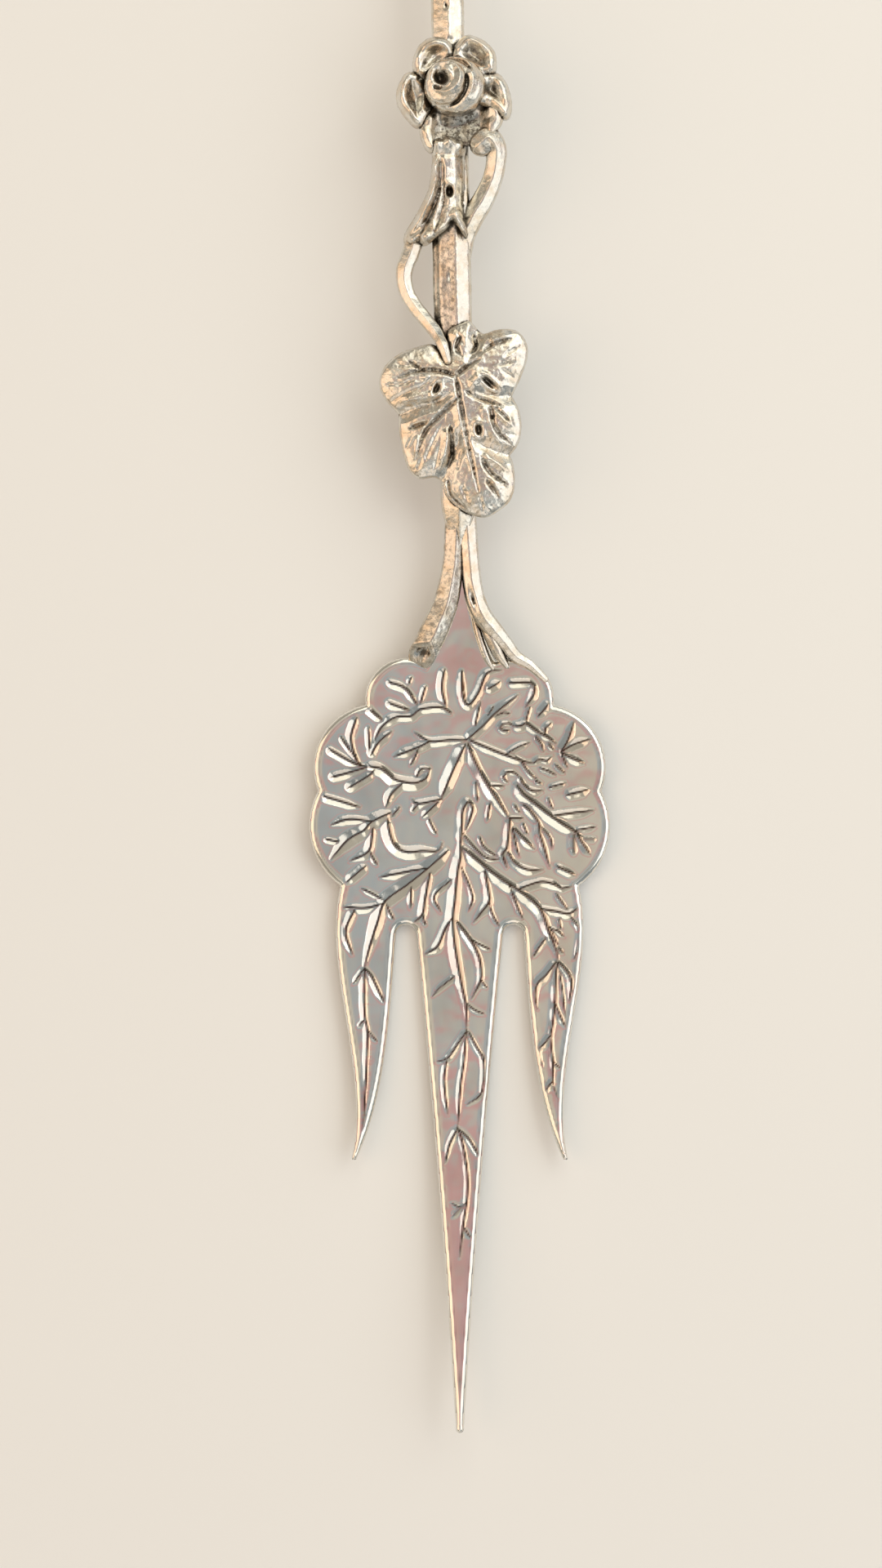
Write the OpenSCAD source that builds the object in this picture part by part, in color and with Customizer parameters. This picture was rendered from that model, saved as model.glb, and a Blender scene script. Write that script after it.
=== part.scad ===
// Silver serving fork: a leaf-shaped blade with three tines and a handle of vine, leaf and rose.
// It lies on its back: X is across, Y runs from the tip to the handle's end, Z is up from the table.

/* [Overall] */
// Length from the tip of the centre tine to the end of the handle
overall_length = 165; // [155:1:185]
// Sideways lean of the handle, in degrees
handle_lean = 1.3; // [0:0.1:3]

/* [Blade] */
// Thickness of the blade's sheet
blade_thick = 1.2; // [0.9:0.1:1.5]
// Radius of the bend along the blade
bend_radius = 300; // [240:10:450]
// Radius of the dish across the blade
dish_radius = 120; // [90:5:180]
// Distance from the tip to the lowest point of the bend
belly_from_tip = 46; // [42:0.5:50]
// Depth of the flat that the blade rests on
rest_depth = 0.1; // [0.06:0.01:0.16]
// Radius of the top lobes
top_lobe_r = 3.8; // [3.4:0.1:4.2]
// Distance of the top lobes from the centre line
top_lobe_x = 4.8; // [4.4:0.1:5.2]
// Height of the top lobes above the tine roots
top_lobe_up = 21.5; // [21:0.1:22]
// Radius of the middle lobes
middle_lobe_r = 5.8; // [5.4:0.1:6.2]
// Distance of the middle lobes from the centre line
middle_lobe_x = 7.5; // [7:0.1:8]
// Height of the middle lobes above the tine roots
middle_lobe_up = 15.3; // [14.8:0.1:15.8]
// Radius of the bottom lobes
bottom_lobe_r = 6.7; // [6.3:0.1:7.1]
// Distance of the bottom lobes from the centre line
bottom_lobe_x = 7; // [6.6:0.1:7.4]
// Height of the bottom lobes above the tine roots
bottom_lobe_up = 10; // [9.6:0.1:10.4]

/* [Tines] */
// Length of the centre tine
centre_tine_length = 44.8; // [40:0.2:50]
// Width of the centre tine at its root
centre_tine_w = 7.9; // [7:0.1:8.6]
// Radius of the centre tine's tip
tine_tip_r = 0.35; // [0.25:0.05:0.6]
// Length of the side tines
side_tine_length = 20.4; // [17:0.2:24]
// Width of the side tines at their roots
side_tine_w = 5.5; // [5:0.1:6]
// Distance of the side tines' tips from the centre line
side_tip_x = 9.65; // [9:0.05:10.4]
// Width of the tip of a side tine
side_tip_w = 0.4; // [0.3:0.05:0.6]
// Width of the slot between two tines
tine_gap = 1.9; // [1.5:0.1:2.3]

/* [Neck] */
// Height of the neck joint above the tine roots
neck_up = 34.1; // [33:0.1:36]
// Height of the stem's centre above the tang
neck_lift = 0.3; // [0.2:0.05:0.5]
// Width of the tang at the neck joint
tang_end_w = 1.8; // [1.4:0.1:2.2]
// Width of the tang where it leaves the lobes
tang_root_w = 8; // [7:0.2:9]
// Diameter of the left shoot
left_shoot_d = 2.5; // [2.1:0.1:2.7]
// Diameter of the right shoot at the neck
right_shoot_d = 2; // [1.8:0.1:2.3]
// Diameter of the right shoot at its end
right_shoot_end_d = 1.2; // [1:0.1:1.5]
// Length of the shoots from the neck joint
shoot_length = 8.6; // [8.2:0.1:9.2]
// Spread of the shoots' ends from the centre line
shoot_spread = 3.4; // [3:0.1:3.8]
// Diameter of the dimple in the left shoot's cut end
shoot_dimple_d = 1.2; // [0.8:0.1:1.5]

/* [Stem] */
// Diameter of the stem from the neck to the rose
stem_d = 3; // [2.8:0.1:3.3]
// Diameter of the stem above the rose
upper_stem_d = 2.75; // [2.5:0.05:2.8]
// Radius of the handle's arch
arch_radius = 400; // [340:10:600]

/* [Vine leaf] */
// Distance from the neck joint to the middle of the leaf's veins
leaf_from_neck = 16.4; // [15.5:0.1:17.5]
// Height of the leaf's seat above the stem's centre
leaf_seat = 0.8; // [0.5:0.05:1.1]
// Thickness of the leaf's plate
leaf_thick = 0.8; // [0.6:0.05:1.1]
// Rise of the puffed lobes over the plate
leaf_puff = 0.5; // [0.35:0.05:0.8]
// Width of the rim round the puffed lobes
leaf_rim = 0.25; // [0.15:0.05:0.4]
// Width of the leaf's vein grooves
leaf_vein_w = 0.35; // [0.2:0.05:0.5]
// Diameter of the pits between the lobes
leaf_pit_d = 0.7; // [0.5:0.05:0.9]

/* [Leaf stalk] */
// Diameter of the stalk at the calyx
stalk_d = 1.5; // [1.3:0.1:1.7]
// Diameter of the stalk at the leaf
stalk_end_d = 1.1; // [0.9:0.1:1.3]
// Bulge of the stalk's loop to the left of the stem
stalk_bulge = 4.5; // [4.2:0.1:5]

/* [Calyx] */
// Distance from the neck joint to the calyx's collar
calyx_from_neck = 36.8; // [36.2:0.1:37.2]
// Length of the calyx from its collar to its tips
calyx_length = 8.4; // [8:0.1:8.8]
// Width of the calyx at its collar
calyx_collar_w = 3.4; // [3.2:0.1:3.8]
// Reach of the left tip from the stem's centre
calyx_left_reach = 4.2; // [3.8:0.1:4.6]
// Reach of the right tip from the stem's centre
calyx_right_reach = 1.5; // [1.2:0.1:1.8]
// Radius of the calyx's back
calyx_back_r = 4.8; // [4.5:0.1:5.2]
// Thickness of the calyx
calyx_thick = 0.9; // [0.8:0.05:1.1]
// Height of the calyx's back above the stem
calyx_proud = 0.7; // [0.55:0.05:0.85]
// Gap for solder between the calyx and the stem
solder_gap = 0.05; // [0.03:0.01:0.1]

/* [Side branch] */
// Diameter of the side branch
branch_d = 1.8; // [1.5:0.1:2]
// Diameter of the knob on the side branch
knob_d = 2.6; // [2.3:0.1:2.8]
// Distance of the knob from the stem's centre
knob_x = 3.2; // [3:0.1:3.5]
// Distance from the neck joint to the knob
knob_from_neck = 37.3; // [37:0.1:37.6]

/* [Rose] */
// Distance from the neck joint to the rose's middle
rose_from_neck = 41.7; // [41.4:0.1:42.4]
// Sideways offset of the rose from the stem
rose_x = 0.4; // [0:0.1:0.7]
// Height of the rose's seat above the stem's centre
rose_seat = 0.6; // [0.4:0.05:0.9]
// Diameter of the bud
rose_bud_d = 5.3; // [4.8:0.1:5.6]
// Height of the bud's middle over its seat
rose_bud_up = 2; // [1.6:0.1:2.3]
// Radius of a petal's cup
petal_r = 2.2; // [2:0.05:2.4]
// Thickness of a petal
petal_thick = 0.45; // [0.35:0.05:0.6]
// Diameter of a petal's rolled rim
petal_rim_d = 0.7; // [0.6:0.05:0.8]
// Distance of the petals from the rose's middle
petal_out = 3.4; // [3.2:0.1:3.6]
// Outward tilt of the petals, in degrees
petal_tilt = 24; // [16:1:32]
// Height of the middle of a petal's cup over the seat
petal_up = 2.1; // [1.9:0.05:2.3]

/* [Handle end] */
// Diameter of the bud at the handle's end
end_bud_d = 6.4; // [5.6:0.1:7]
// Distance from the middle of the end bud to its tip
end_bud_tip = 6; // [5.4:0.1:6.6]
// Radius of the end bud's rounded tip
end_tip_r = 1.1; // [0.8:0.05:1.4]
// Thickness of the sepals
sepal_thick = 0.45; // [0.35:0.05:0.6]
// Number of sepals
sepal_count = 5; // [4:1:6]

/* [Hidden] */
$fn = 96;
PETALS = 5;

curve_steps = 14;
// Lap of the upper stem into the lower one
stem_lap = 1;
// Size of the blocks that cut and bound, larger than any one piece of the handle
reach = overall_length / 4;

// Stations along the fork, as Y
tip_y = -overall_length / 2;
root_y = tip_y + centre_tine_length;
belly_y = tip_y + belly_from_tip;
neck_y = root_y + neck_up;

// Tine edges
centre_edge = centre_tine_w / 2;
slot_x = centre_edge + tine_gap / 2;
side_in = centre_edge + tine_gap;
side_out = side_in + side_tine_w;

// Height of the blade's top face over the table at a point
function blade_top(x, y) =
    (y - belly_y) ^ 2 / (2 * bend_radius) + x ^ 2 / (2 * dish_radius) + blade_thick - rest_depth;

// The stem's arch runs from the neck to the middle of the end bud, in the handle's own plane
end_v = (overall_length / 2 - neck_y - end_bud_tip) / cos(handle_lean);
neck_z = blade_top(0, neck_y) + neck_lift;
end_z = end_bud_d / 2 - rest_depth;
arch_chord = norm([end_v, end_z - neck_z]);
arch_drop = sqrt(arch_radius ^ 2 - arch_chord ^ 2 / 4);
arch_v = end_v / 2 + arch_drop * (end_z - neck_z) / arch_chord;
arch_z = (neck_z + end_z) / 2 - arch_drop * end_v / arch_chord;

function stem_z(v) = arch_z + sqrt(arch_radius ^ 2 - (v - arch_v) ^ 2);
function stem_turn(v) = asin((v - arch_v) / arch_radius);

calyx_middle = calyx_from_neck - calyx_length / 2;

// Leaf lobes as offsets from the middle of the veins, with their radii
leaf_lobes = [
    [-3.9, -0.3, 3.2],
    [-2.9, -6.4, 2.7],
    [2.4, -9.6, 2.5],
    [3.4, -4.7, 2.3],
    [3.4, 1.4, 2.9],
    [0.5, 3.5, 1.4]
];
// Bottoms of the notches between the lobes
left_notch = [-5.1, -4];
upper_right_notch = [4.7, -2.2];
lower_right_notch = [4.5, -6.9];
leaf_pits = [[-2, -1.3], [2.8, -0.7], [2, -4.6]];

// Directions of the petals round the rose, and how much further out each one sits
petal_turns = [124, 59, -12, -110, -170];
petal_shifts = [0, 0, 0, 0.4, 0];

function bezier(p, t) =
    (1 - t) ^ 3 * p[0] + 3 * (1 - t) ^ 2 * t * p[1] + 3 * (1 - t) * t ^ 2 * p[2] + t ^ 3 * p[3];
function curve(p, steps = curve_steps) = [for (i = [0:steps]) bezier(p, i / steps)];
function reversed(list) = [for (i = [len(list) - 1:-1:0]) list[i]];
function unit(v) = v / norm(v);
function slope(p, t) =
    unit(3 * (1 - t) ^ 2 * (p[1] - p[0]) + 6 * (1 - t) * t * (p[2] - p[1]) + 3 * t ^ 2 * (p[3] - p[2]));

// Round twig that follows a curve and tapers from one diameter to another
module twig(path, d_start, d_end, rings = 16, sides = 12) {
    points = [
        for (i = [0:rings])
            let (
                t = i / rings,
                ahead = slope(path, t),
                across = unit(cross([0, 0, 1], ahead)),
                up = cross(ahead, across),
                r = (d_start + (d_end - d_start) * t) / 2
            )
            for (j = [0:sides - 1])
                bezier(path, t) + r * (cos(360 * j / sides) * across + sin(360 * j / sides) * up)
    ];
    walls = [
        for (i = [0:rings - 1])
            for (j = [0:sides - 1])
                let (
                    a = i * sides + j,
                    b = i * sides + (j + 1) % sides
                )
                each [[a, b + sides, b], [a, a + sides, b + sides]]
    ];
    start = [for (j = [0:sides - 1]) j];
    end = [for (j = [sides - 1:-1:0]) rings * sides + j];
    polyhedron(points, concat([start], walls, [end]));
}

// Places things in the handle's leaning plane, with Y measured from the neck joint
module on_handle() {
    translate([0, neck_y, 0])
        rotate([0, 0, handle_lean])
            children();
}

// Places things on the stem at a distance from the neck, tilted with the arch
module on_stem(v, lift = 0) {
    translate([0, v, stem_z(v)])
        rotate([-stem_turn(v), 0, 0])
            translate([0, 0, lift])
                children();
}

// Length of round stem between two distances from the neck
module stem_run(from, to, d) {
    translate([0, arch_v, arch_z])
        rotate([0, -90, 0])
            rotate([0, 0, stem_turn(from)])
                rotate_extrude(angle = stem_turn(to) - stem_turn(from), $fn = 1440)
                    translate([arch_radius, 0])
                        circle(d = d);
}

module blade_outline() {
    difference() {
        union() {
            for (side = [0, 1]) mirror([side, 0]) {
                translate([top_lobe_x, root_y + top_lobe_up]) circle(r = top_lobe_r);
                translate([middle_lobe_x, root_y + middle_lobe_up]) circle(r = middle_lobe_r);
                translate([bottom_lobe_x, root_y + bottom_lobe_up]) circle(r = bottom_lobe_r);
                translate([0, root_y]) half_outline();
            }
            translate([0, tip_y + tine_tip_r]) circle(r = tine_tip_r, $fn = 24);
        }
        for (side = [-1, 1])
            translate([side * slot_x, root_y]) circle(d = tine_gap, $fn = 48);
    }
}

// Right half of the blade without its lobes: the body, a side tine, half the centre tine and half the tang
module half_outline() {
    side_inner = curve([
        [side_in, 0],
        [side_in + 0.5, -0.33 * side_tine_length],
        [side_in + 0.8, -0.72 * side_tine_length],
        [side_tip_x - side_tip_w / 2, -side_tine_length]
    ]);
    side_outer = curve([
        [side_tip_x + side_tip_w / 2, -side_tine_length],
        [side_out - 3.3, -0.6 * side_tine_length],
        [side_out + 1.5, -0.12 * side_tine_length],
        [side_out - 0.6, 0.24 * side_tine_length]
    ]);
    centre_side = curve([
        [tine_tip_r, tine_tip_r - centre_tine_length],
        [tine_tip_r + 0.83, -0.69 * centre_tine_length],
        [0.6 * centre_edge, -0.36 * centre_tine_length],
        [centre_edge, 0]
    ]);
    tang_side = curve([
        [tang_root_w / 2, top_lobe_up + 2.2],
        [tang_root_w / 4, neck_up - 7.4],
        [tang_end_w / 2 + 0.3, neck_up - 3.9],
        [tang_end_w / 2, neck_up]
    ], 8);
    polygon(concat(
        [[0, tine_tip_r - centre_tine_length]], centre_side, side_inner, side_outer,
        [[middle_lobe_x, middle_lobe_up], [top_lobe_x, top_lobe_up]],
        tang_side, [[0, neck_up]]
    ));
}

// Solid swept by a dished profile of the given depth round the bend's centre
module bent_layer(depth_from, depth_to) {
    turn = 24;
    translate([0, belly_y, bend_radius - rest_depth])
        rotate([0, 90, 0])
            rotate([0, 0, -turn / 2])
                rotate_extrude(angle = turn, $fn = 1440)
                    intersection() {
                        translate([bend_radius - dish_radius, 0])
                            difference() {
                                circle(r = dish_radius - depth_from, $fn = 720);
                                circle(r = dish_radius - depth_to, $fn = 720);
                            }
                        translate([bend_radius - reach / 4, -reach / 2])
                            square([reach / 2, reach]);
                    }
}

module blade() {
    color("gainsboro")
        intersection() {
            linear_extrude(height = reach / 2) blade_outline();
            bent_layer(0, blade_thick);
        }
}

module left_shoot() {
    end_y = neck_y - shoot_length;
    end = [-shoot_spread, end_y, blade_top(shoot_spread, end_y) + left_shoot_d * 0.35];
    color("silver")
        difference() {
            intersection() {
                twig([
                    [-0.5, neck_y, neck_z],
                    [-0.75, neck_y - 3, neck_z],
                    [-1.9, neck_y - 0.69 * shoot_length, end[2]],
                    end
                ], left_shoot_d, left_shoot_d);
                translate([-reach, neck_y - reach, 0]) cube([reach, reach, reach]);
            }
            blade();
            translate(end) sphere(d = shoot_dimple_d, $fn = 32);
        }
}

module right_shoot() {
    end_x = shoot_spread + 0.9;
    end_y = neck_y - shoot_length - 0.4;
    end = [end_x, end_y, blade_top(end_x, end_y) + right_shoot_end_d * 0.3];
    color("silver")
        difference() {
            intersection() {
                twig([
                    [0.7, neck_y, neck_z],
                    [0.95, neck_y - 3, neck_z],
                    [1.9, neck_y - 0.74 * shoot_length, end[2] + 0.2],
                    end
                ], right_shoot_d, right_shoot_end_d);
                translate([0, neck_y - reach, 0]) cube([reach, reach, reach]);
            }
            blade();
        }
}

// Plan of the leaf, with the middle of its veins at the origin
module leaf_outline() {
    for (lobe = leaf_lobes) translate([lobe[0], lobe[1]]) circle(r = lobe[2]);
    centres = [for (lobe = leaf_lobes) [lobe[0], lobe[1]]];
    polygon([
        centres[0], left_notch, centres[1], centres[2], lower_right_notch, centres[3],
        upper_right_notch, centres[4], centres[5]
    ]);
}

// Spherical cap with the given foot radius and rise
module cap(foot_r, rise) {
    ball_r = (foot_r ^ 2 + rise ^ 2) / (2 * rise);
    intersection() {
        translate([0, 0, rise - ball_r]) sphere(r = ball_r, $fn = 180);
        cylinder(r = foot_r, h = 2 * rise);
    }
}

module stem() {
    color("silver")
        on_handle() difference() {
            union() {
                stem_run(0, rose_from_neck, stem_d);
                stem_run(rose_from_neck - stem_lap, end_v, upper_stem_d);
            }
            on_stem(leaf_from_neck, leaf_seat)
                linear_extrude(height = stem_d) leaf_outline();
            on_stem(rose_from_neck, rose_seat)
                translate([rose_x, 0, 0]) cylinder(r = petal_out, h = stem_d);
            on_stem(end_v) sphere(d = end_bud_d);
        }
}

module vine_leaf() {
    color("silver")
        on_handle() on_stem(leaf_from_neck, leaf_seat) difference() {
            union() {
                linear_extrude(height = leaf_thick) leaf_outline();
                for (lobe = leaf_lobes)
                    translate([lobe[0], lobe[1], leaf_thick]) cap(lobe[2] - leaf_rim, leaf_puff);
            }
            for (lobe = leaf_lobes)
                rotate([0, 0, atan2(lobe[1], lobe[0])])
                    translate([0, -leaf_vein_w / 2, leaf_thick])
                        cube([norm([lobe[0], lobe[1]]) + lobe[2] / 2, leaf_vein_w, 2 * leaf_puff]);
            for (pit = leaf_pits)
                translate([pit[0], pit[1], leaf_thick / 2])
                    cylinder(d = leaf_pit_d, h = 2 * leaf_puff + leaf_thick);
        }
}

module leaf_stalk() {
    top_v = calyx_from_neck - calyx_length;
    leaf_z = stem_z(leaf_from_neck) + leaf_seat + leaf_thick;
    color("silver")
        on_handle() difference() {
            twig([
                [0.3 - calyx_left_reach, top_v + 0.6, stem_z(top_v) + 0.2],
                [-stalk_bulge - 0.9, top_v - 3.6, stem_z(top_v) + 0.2],
                [-stalk_bulge + 0.4, leaf_from_neck + 6, leaf_z + 0.6],
                [-0.2, leaf_from_neck + 0.6, leaf_z + 0.25]
            ], stalk_d, stalk_end_d);
            on_stem(leaf_from_neck, leaf_seat)
                linear_extrude(height = leaf_thick) leaf_outline();
            calyx_solid();
        }
}

// Plan of the calyx, with its collar at the origin and its tips down
module calyx_outline() {
    half = calyx_collar_w / 2;
    left_edge = curve([
        [-half, 0],
        [-half + 0.3, -0.5 * calyx_length],
        [-half - 0.7, -0.65 * calyx_length],
        [-calyx_left_reach, -calyx_length]
    ], 8);
    left_lobe = curve([
        [0.8 - calyx_left_reach, -calyx_length - 0.4],
        [-0.5 * calyx_left_reach, -0.95 * calyx_length],
        [-0.3, -0.92 * calyx_length],
        [0, -0.78 * calyx_length]
    ], 8);
    right_lobe = curve([
        [0, -0.78 * calyx_length],
        [0.2, -0.9 * calyx_length],
        [0.6, -0.94 * calyx_length],
        [calyx_right_reach, -0.95 * calyx_length]
    ], 6);
    polygon(concat(left_edge, left_lobe, right_lobe, [[half - 0.2, -0.5 * calyx_length], [half, 0]]));
}

// Calyx before it is bored for the stem
module calyx_solid() {
    back_up = stem_d / 2 + calyx_proud;
    on_stem(calyx_middle)
        intersection() {
            translate([0, calyx_from_neck - calyx_middle, -stem_d / 2])
                linear_extrude(height = stem_d + back_up) calyx_outline();
            translate([0, 0, back_up - calyx_back_r])
                rotate([90, 0, 0])
                    difference() {
                        cylinder(r = calyx_back_r, h = reach, center = true);
                        cylinder(r = calyx_back_r - calyx_thick, h = 2 * reach, center = true);
                    }
        }
}

module calyx() {
    color("silver")
        on_handle() difference() {
            calyx_solid();
            on_stem(calyx_middle)
                rotate([90, 0, 0])
                    cylinder(d = stem_d + 2 * solder_gap, h = reach, center = true);
        }
}

module side_branch() {
    base_v = calyx_from_neck - calyx_length;
    knob = [knob_x, knob_from_neck, stem_z(knob_from_neck) + 0.6];
    color("silver")
        on_handle() difference() {
            union() {
                twig([
                    [0.9, base_v - 0.8, stem_z(base_v) - 0.2],
                    [2.3, base_v + 1.4, stem_z(base_v) - 0.2],
                    [knob_x + 1.1, base_v + 4.5, knob[2] - 0.3],
                    knob
                ], branch_d, branch_d);
                translate(knob) sphere(d = knob_d, $fn = 48);
            }
            stem_run(0, rose_from_neck, stem_d);
        }
}

// Places things at the rose's middle on its seat
module on_rose() {
    on_handle() on_stem(rose_from_neck, rose_seat) translate([rose_x, 0, 0]) children();
}

// Cup of one petal: part of a ball's shell with a rolled rim
module petal_cup() {
    rim_up = -petal_r * 0.15;
    rim_r = sqrt(petal_r ^ 2 - rim_up ^ 2) - petal_thick / 2;
    rotate_extrude() {
        intersection() {
            difference() {
                circle(r = petal_r);
                circle(r = petal_r - petal_thick);
            }
            translate([0, -petal_r]) square([petal_r, petal_r + rim_up]);
        }
        translate([rim_r, rim_up]) circle(d = petal_rim_d, $fn = 48);
    }
}

// Upright wedge that one petal may fill, between the middles of its two gaps
module petal_wedge(from, to) {
    linear_extrude(height = reach)
        polygon([[0, 0], reach * [cos(from), sin(from)], reach * [cos(to), sin(to)]]);
}

module rose_petal(i) {
    turn = petal_turns[i];
    before = petal_turns[(i + PETALS - 1) % PETALS];
    after = petal_turns[(i + 1) % PETALS];
    gap_before = ((before - turn) % 360 + 360) % 360;
    gap_after = ((turn - after) % 360 + 360) % 360;
    color("silver")
        on_rose() difference() {
            intersection() {
                rotate([0, 0, turn])
                    translate([petal_out + petal_shifts[i], 0, petal_up])
                        rotate([0, petal_tilt, 0])
                            petal_cup();
                petal_wedge(turn - gap_after / 2, turn + gap_before / 2);
            }
            translate([0, 0, rose_bud_up]) sphere(d = rose_bud_d);
        }
}

module rose_bud() {
    roll_d = rose_bud_d * 0.42;
    roll_up = rose_bud_up + rose_bud_d * 0.42;
    color("silver")
        on_rose() difference() {
            union() {
                translate([0, 0, rose_bud_up]) sphere(d = rose_bud_d);
                translate([-0.2, 0.3, roll_up])
                    rotate_extrude()
                        translate([roll_d / 2, 0]) circle(d = petal_rim_d, $fn = 48);
            }
            translate([-0.2, 0.3, roll_up + 0.3]) sphere(d = roll_d * 0.8);
            translate([-reach / 2, -reach / 2, -reach]) cube(reach);
        }
}

// Places things at the middle of the end bud, with Z along the handle
module on_end() {
    on_handle() on_stem(end_v) rotate([-90, 0, 0]) children();
}

// Everything over the table in the handle's half
module over_table() {
    translate([-reach, 0, 0]) cube([2 * reach, overall_length, reach]);
}

module end_bud() {
    cone_top = end_bud_d / 2 * (end_bud_tip - end_tip_r) / (end_bud_d / 2 - end_tip_r);
    lean = asin(end_bud_d / 2 / cone_top);
    tip_up = end_bud_tip - end_tip_r;
    color("silver")
        intersection() {
            on_end() {
                sphere(d = end_bud_d);
                translate([0, 0, end_bud_d / 2 * sin(lean)])
                    cylinder(
                        r1 = end_bud_d / 2 * cos(lean),
                        r2 = end_tip_r * cos(lean),
                        h = tip_up + end_tip_r * sin(lean) - end_bud_d / 2 * sin(lean)
                    );
                translate([0, 0, tip_up]) sphere(r = end_tip_r, $fn = 48);
            }
            over_table();
        }
}

module end_sepals() {
    shell_r = end_bud_d / 2 + sepal_thick;
    color("silver")
        intersection() {
            on_end() difference() {
                sphere(r = shell_r);
                sphere(d = end_bud_d);
                translate([-reach / 2, -reach / 2, -end_bud_d * 0.12]) cube(reach);
                for (i = [0:sepal_count - 1])
                    rotate([0, 0, 360 / sepal_count * (i + 0.5)])
                        translate([0, 0, -end_bud_d * 0.12])
                            rotate([0, 90, 0])
                                cylinder(d = end_bud_d * 0.4, h = reach / 2);
                translate([0, 0, -reach / 2]) cylinder(d = upper_stem_d, h = reach / 2);
            }
            over_table();
        }
}

blade();
left_shoot();
right_shoot();
stem();
vine_leaf();
leaf_stalk();
calyx();
side_branch();
rose_petal(0);  // rose_petal_1
rose_petal(1);  // rose_petal_2
rose_petal(2);  // rose_petal_3
rose_petal(3);  // rose_petal_4
rose_petal(4);  // rose_petal_5
rose_bud();
end_bud();
end_sepals();
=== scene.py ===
# Silver cake fork with an engraved leaf blade and a cast handle of vine, leaf and rose
import math

import bmesh
import bpy
import numpy as np
from mathutils import Matrix, Vector, noise
from mathutils.bvhtree import BVHTree


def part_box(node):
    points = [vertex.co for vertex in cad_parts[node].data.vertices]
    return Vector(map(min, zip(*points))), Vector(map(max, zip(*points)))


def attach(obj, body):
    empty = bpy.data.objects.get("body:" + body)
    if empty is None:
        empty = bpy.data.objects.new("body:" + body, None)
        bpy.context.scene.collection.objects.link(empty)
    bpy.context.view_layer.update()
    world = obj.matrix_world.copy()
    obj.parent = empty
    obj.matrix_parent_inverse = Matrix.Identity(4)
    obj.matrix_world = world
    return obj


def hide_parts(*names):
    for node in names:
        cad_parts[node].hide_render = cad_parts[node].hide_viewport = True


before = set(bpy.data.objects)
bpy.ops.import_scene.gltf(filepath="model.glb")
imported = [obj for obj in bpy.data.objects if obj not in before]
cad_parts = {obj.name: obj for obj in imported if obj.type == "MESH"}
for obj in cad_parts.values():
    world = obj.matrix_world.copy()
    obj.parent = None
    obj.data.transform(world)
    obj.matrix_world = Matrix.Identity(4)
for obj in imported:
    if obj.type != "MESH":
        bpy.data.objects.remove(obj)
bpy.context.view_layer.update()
scene = bpy.context.scene
mm = 0.001

# Shapes that the solids share, in millimetres
fork = {
    "tipY": -82.5, "rootY": -37.7, "bellyY": -36.5, "neckY": -3.6, "lean": 1.3,
    "bendRadius": 300, "dishRadius": 120, "sheet": 1.2, "restDepth": 0.1,
    "archRadius": 400, "archV": 39.54, "archZ": -394.84, "stemD": 3.2, "upperStemD": 2.95,
}


def bladeTop(x, y):
    bend = (y - fork["bellyY"]) ** 2 / (2 * fork["bendRadius"])
    return bend + x ** 2 / (2 * fork["dishRadius"]) + fork["sheet"] - fork["restDepth"]


def stemZ(v):
    return fork["archZ"] + math.sqrt(fork["archRadius"] ** 2 - (v - fork["archV"]) ** 2)


def onHandle():  # the handle's leaning plane, with Y from the neck joint
    return Matrix.Translation((0, fork["neckY"], 0)) @ Matrix.Rotation(math.radians(fork["lean"]), 4, "Z")


def onStem(v, lift=0.0):  # a seat on the stem, tilted with its arch
    turn = -math.asin((v - fork["archV"]) / fork["archRadius"])
    seat = Matrix.Translation((0, v, stemZ(v))) @ Matrix.Rotation(turn, 4, "X")
    return onHandle() @ seat @ Matrix.Translation((0, 0, lift))


def bezier(p, steps):
    t = np.linspace(0, 1, steps + 1)[:, None]
    p = np.array(p, float)
    return (1 - t) ** 3 * p[0] + 3 * (1 - t) ** 2 * t * p[1] + 3 * (1 - t) * t ** 2 * p[2] + t ** 3 * p[3]


def smoothLine(points, step):  # Catmull-Rom line through given points
    p = np.array(points, float)
    if len(p) == 2:
        count = max(1, int(np.linalg.norm(p[1] - p[0]) / step))
        return p[0] + np.linspace(0, 1, count + 1)[:, None] * (p[1] - p[0])
    p = np.vstack([2 * p[0] - p[1], p, 2 * p[-1] - p[-2]])
    line = [p[1]]
    for a, b, c, d in zip(p[:-3], p[1:-2], p[2:-1], p[3:]):
        count = max(1, int(np.linalg.norm(c - b) / step))
        for i in range(1, count + 1):
            t = i / count
            line.append(0.5 * (2 * b + (c - a) * t + (2 * a - 5 * b + 4 * c - d) * t ** 2
                               + (3 * b - a - 3 * c + d) * t ** 3))
    return np.array(line)


# Nodes
def addNode(tree, kind, feeds=None, **settings):
    node = tree.nodes.new(kind)
    for key, value in settings.items():
        if hasattr(node, key):
            setattr(node, key, value)
        else:
            node.inputs[key.replace("_", " ")].default_value = value
    for key, value in (feeds or {}).items():  # a socket is linked, a value is set
        if isinstance(value, bpy.types.NodeSocket):
            tree.links.new(value, node.inputs[key])
        else:
            node.inputs[key].default_value = value
    return node


def rampNode(tree, source, stops):
    node = addNode(tree, "ShaderNodeValToRGB", {"Fac": source})
    ramp = node.color_ramp
    while len(ramp.elements) < len(stops):
        ramp.elements.new(0.5)
    for element, (place, shade) in zip(ramp.elements, stops):
        element.position = place
        element.color = (shade, shade, shade, 1)
    return node.outputs[0]


def mixNode(tree, mask, a, b, blend="MIX"):
    node = addNode(tree, "ShaderNodeMix", {0: mask, 6: a, 7: b}, data_type="RGBA", blend_type=blend)
    return node.outputs[2]


def timesPlus(tree, value, factor, more):
    node = addNode(tree, "ShaderNodeMath", {0: value, 1: factor, 2: more}, operation="MULTIPLY_ADD")
    return node.outputs[0]


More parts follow.
